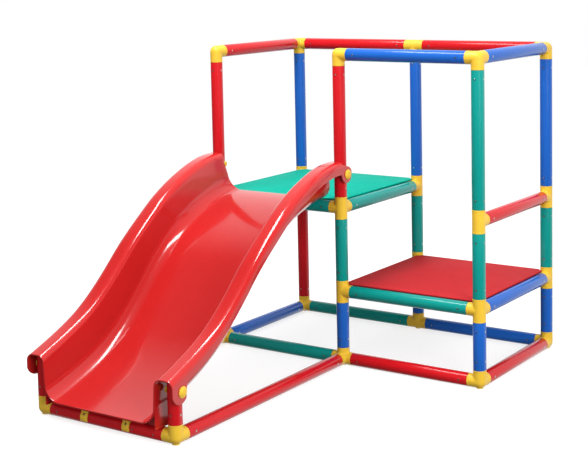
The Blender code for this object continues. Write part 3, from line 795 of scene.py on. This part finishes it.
def joint_core(centre, straight, single, sizes):
    """Arms and rounded middle of a joint, melted together on a fine grid."""
    radius = sizes.tube_diameter / 2 - COLLAR_PROUD
    reach = sizes.joint_arm - CORE_SHORT
    made = bmesh.new()
    solids = [turned(centre - d * reach, d, ((0, radius), (2 * reach, radius)), sizes.facets)
              for d in straight]
    solids += [turned(centre, d, ((0, radius), (reach, radius)), sizes.facets) for d in single]
    if not straight:
        solids.append(turned(centre, AXIS_Z, ball_outline(radius, 20), sizes.facets))
    for solid in solids:
        bmesh.ops.recalc_face_normals(solid, faces=solid.faces)
        part = bpy.data.meshes.new("part")
        solid.to_mesh(part)
        solid.free()
        made.from_mesh(part)
        bpy.data.meshes.remove(part)
    core = object_from("core", made)
    melt = core.modifiers.new("melt", "REMESH")
    melt.mode = "VOXEL"
    melt.voxel_size = sizes.joint_grid
    soften = core.modifiers.new("soften", "SMOOTH")
    soften.factor = 0.5
    soften.iterations = 9
    return take_modifiers(core)


def collar_outline(sizes):
    """Raised band, shoulder and spigot of one arm, from inside the arm outwards."""
    arm, radius = sizes.joint_arm, sizes.tube_diameter / 2
    spigot = radius - sizes.tube_relief - sizes.tube_wall - SPIGOT_GAP
    tip = arm + sizes.spigot
    band = arm - sizes.collar_width
    return (
        (band - 0.0035, radius - 0.003),
        (band - 0.0008, radius - 0.0004),
        (band, radius),
        (arm - 0.0008, radius),
        (arm - 0.0002, radius - 0.0003),
        (arm, radius - 0.0010),
        (arm, spigot),
        (tip - 0.004, spigot),
        (tip - 0.001, spigot - 0.0012),
        (tip, spigot - 0.0030),
    )


def make_joint(name, centre, directions, on_floor, sizes):
    """Joint with an arm in each direction and, on the floor, a small flat foot."""
    straight = [d for d in directions if -d in directions and max(d) > 0]
    single = [d for d in directions if -d not in directions]
    joint = joint_core(centre, straight, single, sizes)
    joint.name = name
    for d in directions:
        arm = object_from("arm", turned(centre, d, collar_outline(sizes), sizes.facets))
        combine(joint, arm, "UNION")
    if on_floor:
        radius = sizes.pad_radius
        drop = centre.z
        outline = ((-drop, radius - 0.0004), (-drop + 0.0004, radius), (-sizes.tube_diameter / 4, radius))
        combine(joint, object_from("foot", turned(centre, AXIS_Z, outline, 40)), "UNION")
    smooth(joint, 32)
    return joint


class FRAME_OT_joints(bpy.types.Operator):
    """Makes every moulded joint"""

    bl_idname = "climbing_frame.joints"
    bl_label = "Make joints"

    def execute(self, context):
        sizes = context.scene.climbing_frame_sizes
        arms = {}
        for run in tube_runs():
            arms.setdefault(run.first, []).append(run.along)
            if run.second:
                arms.setdefault(run.second, []).append(-run.along)
        for (post, level), directions in arms.items():
            directions = [Vector([round(c) for c in d]) for d in directions]
            name = "moulding_" + level + "_" + post
            joint = make_joint(name, point_at(post, level), directions, level == "floor", sizes)
            node = JOINT_NODES.get((post, level), "joint_" + level + "_" + post)
            settle(joint, ["yellow_joint"], "yellow_joint", node)
        return {"FINISHED"}


# ---------------------------------------------------------------- screws
SCREW_TOP = 0.152           # height of the head of a screw one unit across
EXTRA_SCREW_OFFSET = 0.026  # from the right clip to the front floor tube's one extra screw
SCREW_SEED = 7


def screw_shape():
    """Pan-head screw one unit across, with a cross recess; a few dozen faces."""
    sides = 12
    made = bmesh.new()

    def ring(radius, height):
        return [made.verts.new((radius * math.cos(math.tau * (i + 0.5) / sides),
                                radius * math.sin(math.tau * (i + 0.5) / sides), height))
                for i in range(sides)]

    def cross(reach, half, height):
        corners = []
        for quarter in range(4):
            turn = Matrix.Rotation(quarter * math.pi / 2, 3, "Z")
            for x, y in ((reach, half), (half, half), (half, reach)):
                corners.append(made.verts.new(turn @ Vector((x, y, height))))
        return corners

    # the cross's corners follow one another as the rings' do, starting a little above the X axis
    rings = [ring(0.44, -0.15), ring(0.5, 0.0), ring(0.5, 0.10), ring(0.46, 0.135), ring(0.33, 0.150)]
    rings.append(cross(0.25, 0.055, SCREW_TOP))
    rings.append(cross(0.17, 0.045, 0.01))
    for first, second in zip(rings, rings[1:]):
        join_loops(made, first, second)
    made.faces.new(rings[0])
    made.faces.new(rings[-1])
    shape = object_from("screw_shape", made)
    smooth(shape, 35)
    return shape


def screw_places(sizes):
    """Where each screw sits and which way its head looks."""
    places = []
    arm = sizes.joint_arm + sizes.screw_place
    # sunk so far that the heads come level with the joints' collars
    face = sizes.tube_diameter / 2 - SCREW_TOP * sizes.screw_diameter
    for run in tube_runs():
        if run.along.z > 0.5:
            looks = (-AXIS_Y, AXIS_X, AXIS_Y, -AXIS_X)
        elif run.along.x > 0.5:
            looks = (-AXIS_Y, AXIS_Y)
        else:
            looks = (AXIS_X, -AXIS_X)
        spots = [run.start + run.along * arm]
        if run.second:
            spots.append(run.end - run.along * arm)
        for spot in spots:
            places += [(spot + look * face, look) for look in looks]
    extra = Vector((LEFT_X + CLIP_X[1] + EXTRA_SCREW_OFFSET, SLIDE_Y - face, LEVELS["floor"]))
    places.append((extra, -AXIS_Y))
    return places


class FRAME_OT_screws(bpy.types.Operator):
    """Sets the small screws that pin the tubes to the joints"""

    bl_idname = "climbing_frame.screws"
    bl_label = "Set screws"

    def execute(self, context):
        sizes = context.scene.climbing_frame_sizes
        places = screw_places(sizes)
        points = bpy.data.meshes.new("screw_points")
        points.from_pydata([spot for spot, look in places], [], [])
        outward = points.attributes.new("outward", "FLOAT_VECTOR", "POINT")
        outward.data.foreach_set("vector", [c for spot, look in places for c in look])
        shape = screw_shape()
        screws = grown("small_screws", scatter_tree(), {
            "Shape": shape, "Head Diameter": sizes.screw_diameter, "Seed": SCREW_SEED,
            "Finish": finish_named("screw_metal")}, points)
        bpy.data.objects.remove(shape)
        turn_outwards(screws.data)
        settle(screws, ["screw_metal"], "yellow_joint")
        return {"FINISHED"}


# ---------------------------------------------------------------- deck boards
def notched_board(low_x, low_y, side, bottom, top, notch, inset):
    """Square board with a round notch at each corner."""
    outline = []
    steps = 14
    start = math.asin(inset / notch)
    for cx, cy, turn in ((0, 0, 0), (side, 0, 1), (side, side, 2), (0, side, 3)):
        for i in range(steps + 1):
            sweep = math.pi / 2 - start + (2 * start - math.pi / 2) * i / steps
            angle = sweep + turn * math.pi / 2
            outline.append((low_x + cx + notch * math.cos(angle), low_y + cy + notch * math.sin(angle)))
    return prism([(x, y, bottom) for x, y in outline], [(x, y, top) for x, y in outline])


def make_board(name, post, node, sizes):
    """Board that rests between four uprights, with a grid of ribs below."""
    x, y = POSTS[post]
    low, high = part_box(node)
    bottom = high.z - sizes.board_thickness
    board = object_from(name, notched_board(
        x, y, PITCH, bottom, high.z, sizes.board_notch, low.x - x))
    bevelled(board, sizes.board_edge_round, 60, 3)
    gap, rib, cells, bite = 0.030, 0.004, 4, 0.003
    depth = bottom - low.z
    ribs = object_from("ribs", block(
        (x + gap, y + gap, low.z), (x + PITCH - gap, y + PITCH - gap, bottom + bite)))
    span = (PITCH - 2 * gap - (cells + 1) * rib) / cells
    for i in range(cells):
        for j in range(cells):
            cx = x + gap + rib + i * (span + rib)
            cy = y + gap + rib + j * (span + rib)
            pocket = block((cx, cy, low.z - depth), (cx + span, cy + span, bottom + depth))
            combine(ribs, object_from("pocket", pocket), "DIFFERENCE")
    combine(board, ribs, "UNION")
    smooth(board, 35)
    return board


class FRAME_OT_boards(bpy.types.Operator):
    """Makes the two deck boards"""

    bl_idname = "climbing_frame.boards"
    bl_label = "Make deck boards"

    def execute(self, context):
        sizes = context.scene.climbing_frame_sizes
        for level, post, finish in (
                ("upper", "front_left", "green_board"), ("lower", "front_mid", "red_board")):
            board = make_board("board_" + level, post, "deck_" + level, sizes)
            settle(board, [finish], finish, "deck_" + level)
        return {"FINISHED"}


# ---------------------------------------------------------------- slide
def height_on(line, y):
    """Smooth curve through the line's (y, height, slope) points."""
    for (y0, h0, s0), (y1, h1, s1) in zip(line, line[1:]):
        if y <= y1:
            span = y1 - y0
            t = (y - y0) / span
            value = h0 * (2 * t**3 - 3 * t**2 + 1) + h1 * (3 * t**2 - 2 * t**3)
            return value + span * (s0 * (t**3 - 2 * t**2 + t) + s1 * (t**3 - t**2))
    return line[-1][1]


def lip_edge(y, slide):
    """Lower edge of the outer lip, which swells smoothly into a round ear about each bolt."""
    plain = height_on(RIM_LINE, y) - slide.lip_drop
    ease = 0.012        # how softly an ear runs into the lip

    def outside(z):
        """Below zero inside the lip or an ear."""
        value = plain - z
        for ear_y, ear_z, radius in EARS:
            ear = math.hypot(y - ear_y, z - ear_z) - radius
            blend = max(ease - abs(value - ear), 0) / ease
            value = min(value, ear) - blend * blend * ease / 4
        return value

    low, high = plain - 0.09, plain + 0.004
    if outside(high) > 0:
        return plain
    z = high
    while z > low and outside(z) <= 0:
        z -= 0.002
    inner, outer = z + 0.002, z
    for step in range(18):
        middle = (inner + outer) / 2
        if outside(middle) <= 0:
            inner = middle
        else:
            outer = middle
    return inner


def arc(cx, cz, radius, start, end, steps):
    """Points along an arc after its first, angles in degrees."""
    points = []
    for i in range(1, steps + 1):
        angle = math.radians(start + (end - start) * i / steps)
        points.append((cx + radius * math.cos(angle), cz + radius * math.sin(angle)))
    return points


def straight(first, last, steps):
    """Points along a straight run after its first."""
    return [(first[0] + (last[0] - first[0]) * i / steps, first[1] + (last[1] - first[1]) * i / steps)
            for i in range(1, steps + 1)]


# webs under the slide's front end, from SLIDE_ORIGIN: their outer face and thickness, their reach
# along the slide and upwards, the shelf on each, and the rib across
WEB_FACE, WEB_THICK = 0.0458, 0.0032
WEB_FRONT, WEB_BACK = -1.0245, -0.940
WEB_LOW, WEB_TOP = 0.0255, 0.115
SHELF_OUT, SHELF_THICK = 0.009, 0.003
RIB_LOW, RIB_TOP = 0.018, 0.063
# points in each stretch of the slide's section, and the columns where the lip and the wall start
LIP_STEPS, SHOULDER_STEPS, TOP_STEPS, WALL_STEPS, FILLET_STEPS, BED_STEPS = 7, 8, 3, 7, 12, 7
PLATE_COLUMN = LIP_STEPS + 3
WALL_COLUMN = LIP_STEPS + 2 * SHOULDER_STEPS + TOP_STEPS


def slide_section(y, slide):
    """Shown face of the slide at y, from the left lip's edge over the rim to the right lip's edge."""
    bed, rim = height_on(BED_LINE, y), height_on(RIM_LINE, y)
    shoulder, fillet = slide.rim_round, slide.bed_fillet
    rim_z = rim - shoulder
    half = [(-slide.rim_out, lip_edge(y, slide))]
    half += straight(half[-1], (-slide.rim_out, rim_z), LIP_STEPS)
    half += arc(-slide.rim_out + shoulder, rim_z, shoulder, 180, 90, SHOULDER_STEPS)
    half += straight(half[-1], (slide.rim_in - shoulder, rim), TOP_STEPS)
    half += arc(slide.rim_in - shoulder, rim_z, shoulder, 90, 0, SHOULDER_STEPS)
    half += straight(half[-1], (slide.wall_foot, bed + fillet), WALL_STEPS)
    half += arc(slide.wall_foot + fillet, bed + fillet, fillet, 180, 270, FILLET_STEPS)
    half += straight(half[-1], (PITCH / 2, bed), BED_STEPS)
    return half + [(PITCH - x, z) for x, z in reversed(half[:-1])]


def wall_end_at(z):
    """How far back the walls and the landing lip reach at a height."""
    if z <= WALL_END[0][0]:
        return WALL_END[0][1]
    for (z0, y0), (z1, y1) in zip(WALL_END, WALL_END[1:]):
        if z <= z1:
            t = (z - z0) / (z1 - z0)
            return y0 + (y1 - y0) * t
    return WALL_END[-1][1]


def plate_end_at(z, notch, tail):
    """How far back the outer lip reaches at a height, round its ear and up to the rim's notch."""
    ear_y, ear_z, radius = EARS[0]
    above = z - ear_z
    if above <= 0:
        return tail
    crown = EAR_CROWN * radius
    if above < crown:
        return min(tail, ear_y + math.sqrt(radius**2 - above**2))
    # from the ear's crown the edge runs smoothly up to the notch
    t = min(1.0, (above - crown) / (EAR_NECK - crown))
    from_y = ear_y + math.sqrt(radius**2 - crown**2)
    return from_y + (notch + 0.0015 - from_y) * t * t * (3 - 2 * t)


def slide_sheet(slide):
    """One surface with the slide's shape, to be given its thickness."""
    notch, tail = WALL_END[-1][1], EARS[0][0] + EARS[0][2] - 0.0004
    made = bmesh.new()
    ys = []
    for i in range(slide.stations + 1):
        t = i / slide.stations
        # closer together towards both ends, where the ears are
        t -= STATION_CROWDING * math.sin(2 * math.pi * t)
        ys.append(SLIDE_NOSE + (notch - SLIDE_NOSE) * t)

    def column_points(y, columns):
        section = slide_section(y, slide)
        return [SLIDE_ORIGIN + Vector((section[j][0], y, section[j][1])) for j in columns]

    def run_out(columns, ends, share):
        """A row beyond the notch, each of its points a share of the way to its own end."""
        row = []
        for j, end in zip(columns, ends):
            y = notch + (end - notch) * share
            x, z = slide_section(y, slide)[j]
            row.append(SLIDE_ORIGIN + Vector((x, y, z)))
        return row

    def skin(rows):
        """Faces over a grid of points."""
        grid = [[made.verts.new(point) for point in row] for row in rows]
        for first, second in zip(grid, grid[1:]):
            for j in range(len(first) - 1):
                made.faces.new((first[j], first[j + 1], second[j + 1], second[j]))

    count = len(slide_section(ys[0], slide))
    skin([column_points(y, range(count)) for y in ys])
    for columns in (range(PLATE_COLUMN + 1), range(count - 1 - PLATE_COLUMN, count)):
        ends = [plate_end_at(slide_section(0, slide)[j][1], notch, tail) for j in columns]
        # the ear's round end needs more rows near the tail
        shares = [math.sin(math.pi / 2 * i / EAR_ROWS) for i in range(EAR_ROWS + 1)]
        skin([run_out(columns, ends, share) for share in shares])
    inner = range(WALL_COLUMN, count - WALL_COLUMN)
    ends = [wall_end_at(slide_section(notch, slide)[j][1]) for j in inner]
    skin([run_out(inner, ends, i / WALL_END_ROWS) for i in range(WALL_END_ROWS + 1)])
    bmesh.ops.remove_doubles(made, verts=made.verts, dist=0.00002)
    bmesh.ops.recalc_face_normals(made, faces=made.faces)
    centre = SLIDE_ORIGIN + Vector((PITCH / 2, SLIDE_NOSE / 2, 0))
    bed_face = min(made.faces, key=lambda f: (f.calc_center_median() - centre).xy.length)
    if bed_face.normal.z < 0:
        bmesh.ops.reverse_faces(made, faces=made.faces)
    return made


def foot_gusset(slide, face, on_right):
    """Plate over the floor tube that closes the gap under one of the bed's round corners."""
    y, half_thick, sunk = EARS[1][0], 0.0015, slide.skin / 2
    top = WEB_TOP - 0.002
    corner = slide_section(y, slide)[WALL_COLUMN:WALL_COLUMN + WALL_STEPS + FILLET_STEPS + 1]
    outline = [(face, top)] + [(x - sunk, z - sunk) for x, z in corner if z - sunk < top]
    outline += [(outline[-1][0], WEB_LOW), (face, WEB_LOW)]
    if on_right:
        outline = [(PITCH - x, z) for x, z in outline]
    gusset = object_from("gusset", prism(*(
        [SLIDE_ORIGIN + Vector((x, y + shift, z)) for x, z in outline]
        for shift in (-half_thick, half_thick))))
    turn_outwards(gusset.data)
    return gusset


def add_foot_webs(chute, slide):
    """Box-shaped stiffening under the slide's front end, open below."""
    middle = WEB_FACE + WEB_THICK / 2

    def add(name, low_x, high_x, front, back, low, high):
        made = block(SLIDE_ORIGIN + Vector((low_x, front, low)), SLIDE_ORIGIN + Vector((high_x, back, high)))
        combine(chute, object_from(name, made), "UNION")

    for on_right in (False, True):
        # the left side's web and shelf, or the right side's as their mirror
        web = (WEB_FACE, WEB_FACE + WEB_THICK)
        shelf = (WEB_FACE - SHELF_OUT, middle)
        if on_right:
            web, shelf = [(PITCH - high_x, PITCH - low_x) for low_x, high_x in (web, shelf)]
        add("web", *web, WEB_FRONT, WEB_BACK, WEB_LOW, WEB_TOP)
        add("shelf", *shelf, WEB_FRONT + 0.0004, WEB_BACK - 0.0004,
            WEB_TOP - 2 * SHELF_THICK, WEB_TOP - SHELF_THICK)
    for on_right in (False, True):
        combine(chute, foot_gusset(slide, middle, on_right), "UNION")
    add("rib", middle, PITCH - middle, WEB_BACK - 0.005, WEB_BACK - 0.001, RIB_LOW, RIB_TOP)


class FRAME_OT_slide(bpy.types.Operator):
    """Makes the moulded slide"""

    bl_idname = "climbing_frame.slide"
    bl_label = "Make slide"

    def execute(self, context):
        slide = context.scene.climbing_frame_slide
        sheet = slide_sheet(slide)
        mesh = bpy.data.meshes.new("chute")
        sheet.to_mesh(mesh)
        sheet.free()
        chute = bpy.data.objects.new("chute", mesh)
        context.scene.collection.objects.link(chute)
        wall = chute.modifiers.new("wall", "SOLIDIFY")
        wall.thickness = slide.skin
        wall.offset = -1
        wall.use_even_offset = True
        take_modifiers(chute)
        bevelled(chute, slide.edge_round, 55, 2)
        add_foot_webs(chute, slide)
        turn_outwards(chute.data)
        smooth(chute, 38)
        settle(chute, ["red_slide"], "red_slide", "slide")
        return {"FINISHED"}


# ---------------------------------------------------------------- bolts and clips
def cap_outline(face, radius, thick):
    """Domed cap with a sunken ring and a raised middle."""
    return (
        (face, 0.007),
        (face, radius - 0.0005),
        (face + 0.0005, radius),
        (face + 0.0022, radius),
        (face + 0.0030, radius - 0.0006),
        (face + 0.0032, radius - 0.0020),
        (face + 0.0030, radius - 0.0026),
        (face + 0.0036, radius - 0.0032),
        (face + 0.0056, radius - 0.0055),
        (face + 0.0068, radius - 0.0085),
        (face + thick - 0.0004, radius - 0.0120),
        (face + thick - 0.0004, radius - 0.0126),
        (face + thick - 0.0009, radius - 0.0132),
        (face + thick - 0.0009, radius - 0.0150),
        (face + thick - 0.0003, radius - 0.0156),
        (face + thick, 0.0),
    )


# parts of a bolt inside the lip: outline as (distance outwards from the upright's centre, radius),
# facets, and finish, 0 for plastic and 1 for metal
BOLT_PARTS = (
    ("washer", ((0.0243, 0.003), (0.0243, 0.0121), (0.0247, 0.0125), (0.0262, 0.0125),
                (0.0266, 0.0121), (0.0266, 0.003)), 40, 1),
    ("plate", ((-0.0257, 0.003), (-0.0257, 0.0121), (-0.0254, 0.0125), (-0.0245, 0.0125),
               (-0.0243, 0.0121), (-0.0243, 0.003)), 40, 0),
    ("nut", ((-0.0330, 0.003), (-0.0330, 0.0100), (-0.0322, 0.0112), (-0.0262, 0.0112),
             (-0.0255, 0.0102), (-0.0255, 0.003)), 6, 0),
)
SHANK_START, SHANK_RADIUS = -0.0335, 0.0042
CAP_RADIUS, CAP_THICK = 0.019, 0.008


def make_bolt(side_name, row):
    """Cap, shank, washer, round plate and six-sided nut through one upright."""
    x, outward = (LEFT_X, -AXIS_X) if side_name == "left" else (MID_X, AXIS_X)
    y, z = BOLT_Y_Z[row]
    centre = Vector((x, FRONT_Y + y, LEVELS["floor"] + z))
    face = bpy.context.scene.climbing_frame_slide.rim_out + 0.0003
    finishes = ("yellow_joint", "screw_metal")
    shank_end = face + 0.003
    shank = ((SHANK_START, 0.0), (SHANK_START, SHANK_RADIUS), (shank_end, SHANK_RADIUS), (shank_end, 0.0))
    parts = [object_from(name, turned(centre, outward, outline, sides, finish))
             for name, outline, sides, finish in (
                 ("bolt", shank, 28, 1), *BOLT_PARTS,
                 ("cap", cap_outline(face, CAP_RADIUS, CAP_THICK), 56, 0))]
    for part in parts:
        for name in finishes:
            part.data.materials.append(finish_named(name))
    bolt = parts[0]
    for part in parts[1:]:
        combine(bolt, part, "UNION")
    bolt.name = "cap_bolt_" + row + "_" + side_name
    smooth(bolt, 34)
    settle(bolt, finishes, "yellow_joint", "bolt_" + row + "_" + side_name)


CLIP_WIDTH, CLIP_THICK = 0.031, 0.0032
CLIP_BELOW_BED = 0.0056                    # from the bed's shown face down to the clip's block
CLIP_SWEEP = (-22, 202)                    # the saddle's part of a circle, in degrees from the front
CLIP_SCREW_ANGLE, CLIP_HOLE_RADIUS, CLIP_SCREW_DIAMETER = 32, 0.0046, 0.0084


def make_clip(name, x, sizes):
    """Saddle round the floor tube with a block reaching up to the slide's bed, and its screw."""
    centre = Vector((LEFT_X + x, SLIDE_Y, LEVELS["floor"]))
    inner = sizes.tube_diameter / 2
    outer = inner + CLIP_THICK
    middle = (inner + outer) / 2
    steps = 40
    first, last = (math.radians(angle) for angle in CLIP_SWEEP)
    angles = [first + (last - first) * i / steps for i in range(steps + 1)]
    outline = [(-outer * math.cos(a), outer * math.sin(a)) for a in angles]
    outline += [(-inner * math.cos(a), inner * math.sin(a)) for a in reversed(angles)]

    def across(points, half):
        return prism(*([centre + Vector((shift, y, z)) for y, z in points] for shift in (-half, half)))

    clip = object_from(name, across(outline, CLIP_WIDTH / 2))
    bevelled(clip, 0.0008, 50, 2)
    lean = math.radians(40)
    reach, base = middle * math.cos(lean), middle * math.sin(lean)
    run = SLIDE_Y - FRONT_Y
    top = [(y, height_on(BED_LINE, run + y) - CLIP_BELOW_BED) for y in (-reach, reach)]
    riser = object_from("riser", across([(-reach, base), *top, (reach, base)], CLIP_WIDTH / 2 - 0.0006))
    bore = turned(centre - AXIS_X * CLIP_WIDTH, AXIS_X, ((0, middle), (2 * CLIP_WIDTH, middle)), 64)
    combine(riser, object_from("bore", bore), "DIFFERENCE")
    combine(clip, riser, "UNION")
    screw_angle = math.radians(CLIP_SCREW_ANGLE)
    look = Vector((0, -math.cos(screw_angle), math.sin(screw_angle)))
    turn = AXIS_Z.rotation_difference(look).to_matrix()
    hole = turned(Vector(), AXIS_Z, ((inner - 0.004, CLIP_HOLE_RADIUS), (outer + 0.01, CLIP_HOLE_RADIUS)), 28)
    for vert in hole.verts:
        vert.co = centre + turn @ vert.co
    combine(clip, object_from("hole", hole), "DIFFERENCE")
    smooth(clip, 34)
    settle(clip, ["yellow_joint"], "yellow_joint", name.replace("saddle", "clip"))
    screw = screw_shape()
    for vert in screw.data.vertices:
        vert.co = centre + turn @ (vert.co * CLIP_SCREW_DIAMETER + AXIS_Z * (inner + 0.0008))
    screw.name = name + "_screw"
    turn_outwards(screw.data)
    settle(screw, ["screw_metal"], "yellow_joint")


class FRAME_OT_fixings(bpy.types.Operator):
    """Makes the slide's bolts with their caps and the clips on the front tube"""

    bl_idname = "climbing_frame.fixings"
    bl_label = "Make slide fixings"

    def execute(self, context):
        for row in ("upper", "lower"):
            for side_name in ("left", "right"):
                make_bolt(side_name, row)
        for side_name, x in zip(("left", "right"), CLIP_X):
            make_clip("saddle_" + side_name, x, context.scene.climbing_frame_sizes)
        return {"FINISHED"}


# ---------------------------------------------------------------- stage
CAMERA_PLACE = Vector((3.2103, -4.0486, 1.4591))            # from SLIDE_ORIGIN
CAMERA_YAW, CAMERA_PITCH, CAMERA_ROLL = 0.5835, 0.0947, -0.0181  # radians
CAMERA_SHIFT = (-0.0622, -0.2215)
# lights: name, place, target, width, depth, whether they show in the gloss; each is as strong as the
# stage setting of its name says
LIGHTS = (
    ("overhead", (-0.3, -0.6, 3.4), (-0.2, -0.2, 0.3), 2.8, 2.4, False),
    ("strip", (-0.35, -0.55, 3.3), (-0.2, -0.3, 0.3), 1.7, 0.4, True),
    ("right", (3.4, -1.4, 1.5), (0.2, 0.0, 0.5), 2.4, 2.0, False),
    ("front", (0.8, -4.8, 1.6), (-0.2, -0.2, 0.5), 2.6, 2.0, False),
)


def add_light(name, place, target, width, depth, power, in_gloss):
    """Soft rectangular light turned towards a target."""
    light = bpy.data.lights.new(name, "AREA")
    light.shape = "RECTANGLE"
    light.size = width
    light.size_y = depth
    light.energy = power
    obj = bpy.data.objects.new(name, light)
    bpy.context.scene.collection.objects.link(obj)
    obj.location = place
    obj.visible_glossy = in_gloss
    obj.rotation_euler = (Vector(target) - Vector(place)).to_track_quat("-Z", "Y").to_euler()


def add_floor():
    """Wide pale floor that shows white but throws little light back up at the frame."""
    made = bmesh.new()
    bmesh.ops.create_grid(made, x_segments=8, y_segments=8, size=14)
    floor = object_from("studio_floor", made)
    if floor.data.polygons[0].normal.z < 0:
        floor.data.flip_normals()
    floor.data.materials.append(finish_named("studio_floor"))
    floor.visible_diffuse = False
    floor.visible_glossy = False


def add_surround(scene, stage):
    """White room: plain to the eye, with a bright back wall and a dim front in the gloss."""
    world = bpy.data.worlds.new("white_studio")
    scene.world = world
    world.use_nodes = True
    t = Tree(world.node_tree)
    background = world.node_tree.nodes["Background"]
    background.inputs["Color"].default_value = (1, 1, 1, 1)
    ray = t.add("ShaderNodeLightPath")
    place = t.add("ShaderNodeTexCoord").outputs["Generated"]
    looks = t.add("ShaderNodeSeparateXYZ", {"Vector": place})
    mirrored = ranged(t, looks.outputs["Y"], -0.1, 0.6, stage.mirrored_front, stage.mirrored_back)
    lit = ranged(t, looks.outputs["Z"], -0.25, 0.25, 0.3 * stage.surround, stage.surround)
    pick = t.add("ShaderNodeMix", {
        "Factor": ray.outputs["Is Glossy Ray"], "A": lit, "B": mirrored}, data_type="FLOAT")
    see = t.add("ShaderNodeMix", {
        "Factor": ray.outputs["Is Camera Ray"], "A": pick.outputs["Result"], "B": 1.0}, data_type="FLOAT")
    t.link(see.outputs["Result"], background.inputs["Strength"])


def add_camera(scene, lens):
    """Camera in front of the slide's right-hand side."""
    camera = bpy.data.cameras.new("camera")
    camera.lens = lens
    camera.sensor_width = 36.0
    camera.sensor_fit = "HORIZONTAL"
    camera.shift_x, camera.shift_y = CAMERA_SHIFT
    camera.clip_end = 60
    camera.dof.use_dof = False
    holder = bpy.data.objects.new("camera", camera)
    scene.collection.objects.link(holder)
    level = Vector((math.cos(CAMERA_YAW), math.sin(CAMERA_YAW), 0))
    forward = Vector((-math.sin(CAMERA_YAW) * math.cos(CAMERA_PITCH),
                      math.cos(CAMERA_YAW) * math.cos(CAMERA_PITCH), -math.sin(CAMERA_PITCH)))
    up = level.cross(forward)
    right_hand = level * math.cos(CAMERA_ROLL) + up * math.sin(CAMERA_ROLL)
    upwards = up * math.cos(CAMERA_ROLL) - level * math.sin(CAMERA_ROLL)
    turn = Matrix((right_hand, upwards, -forward)).transposed().to_4x4()
    holder.matrix_world = Matrix.Translation(SLIDE_ORIGIN + CAMERA_PLACE) @ turn
    scene.camera = holder


class FRAME_OT_stage(bpy.types.Operator):
    """Sets the floor, the soft light and the camera"""

    bl_idname = "climbing_frame.stage"
    bl_label = "Set stage"

    def execute(self, context):
        scene = context.scene
        stage = scene.climbing_frame_stage
        add_floor()
        add_surround(scene, stage)
        for name, place, target, width, depth, in_gloss in LIGHTS:
            add_light(name, place, target, width, depth, getattr(stage, name), in_gloss)
        add_camera(scene, stage.lens)
        scene.view_settings.view_transform = "Standard"
        scene.view_settings.look = "None"
        return {"FINISHED"}


# ---------------------------------------------------------------- panel and registration
STEPS = (
    ("climbing_frame.finishes", "Finishes"),
    ("climbing_frame.stage", "Stage"),
    ("climbing_frame.tubes", "Tubes"),
    ("climbing_frame.joints", "Joints"),
    ("climbing_frame.screws", "Screws"),
    ("climbing_frame.boards", "Deck boards"),
    ("climbing_frame.slide", "Slide"),
    ("climbing_frame.fixings", "Slide fixings"),
)


class FRAME_PT_panel(bpy.types.Panel):
    """Lists the frame's parts and sizes"""

    bl_label = "Climbing frame"
    bl_idname = "FRAME_PT_panel"
    bl_space_type = "VIEW_3D"
    bl_region_type = "UI"
    bl_category = "Climbing frame"

    def draw(self, context):
        layout = self.layout
        for operator, label in STEPS:
            layout.operator(operator, text=label)
        for name in SETTINGS:
            settings = getattr(context.scene, name)
            box = layout.box()
            for key in settings.bl_rna.properties.keys():
                if key not in ("rna_type", "name"):
                    box.prop(settings, key)


SETTINGS = {
    "climbing_frame_sizes": ClimbingFrameSizes,
    "climbing_frame_slide": SlideSizes,
    "climbing_frame_colours": FinishColours,
    "climbing_frame_stage": StageSettings,
}
CLASSES = (
    *SETTINGS.values(),
    FRAME_OT_finishes, FRAME_OT_tubes, FRAME_OT_joints, FRAME_OT_screws, FRAME_OT_boards,
    FRAME_OT_slide, FRAME_OT_fixings, FRAME_OT_stage, FRAME_PT_panel,
)


def register():
    for cls in CLASSES:
        bpy.utils.register_class(cls)
    for name, group in SETTINGS.items():
        setattr(bpy.types.Scene, name, PointerProperty(type=group))


def unregister():
    for name in SETTINGS:
        delattr(bpy.types.Scene, name)
    for cls in reversed(CLASSES):
        bpy.utils.unregister_class(cls)


def main():
    register()
    bpy.ops.climbing_frame.finishes()
    bpy.ops.climbing_frame.stage()
    bpy.ops.climbing_frame.tubes()
    bpy.ops.climbing_frame.joints()
    bpy.ops.climbing_frame.screws()
    bpy.ops.climbing_frame.boards()
    bpy.ops.climbing_frame.slide()
    bpy.ops.climbing_frame.fixings()


if __name__ == "__main__":
    main()
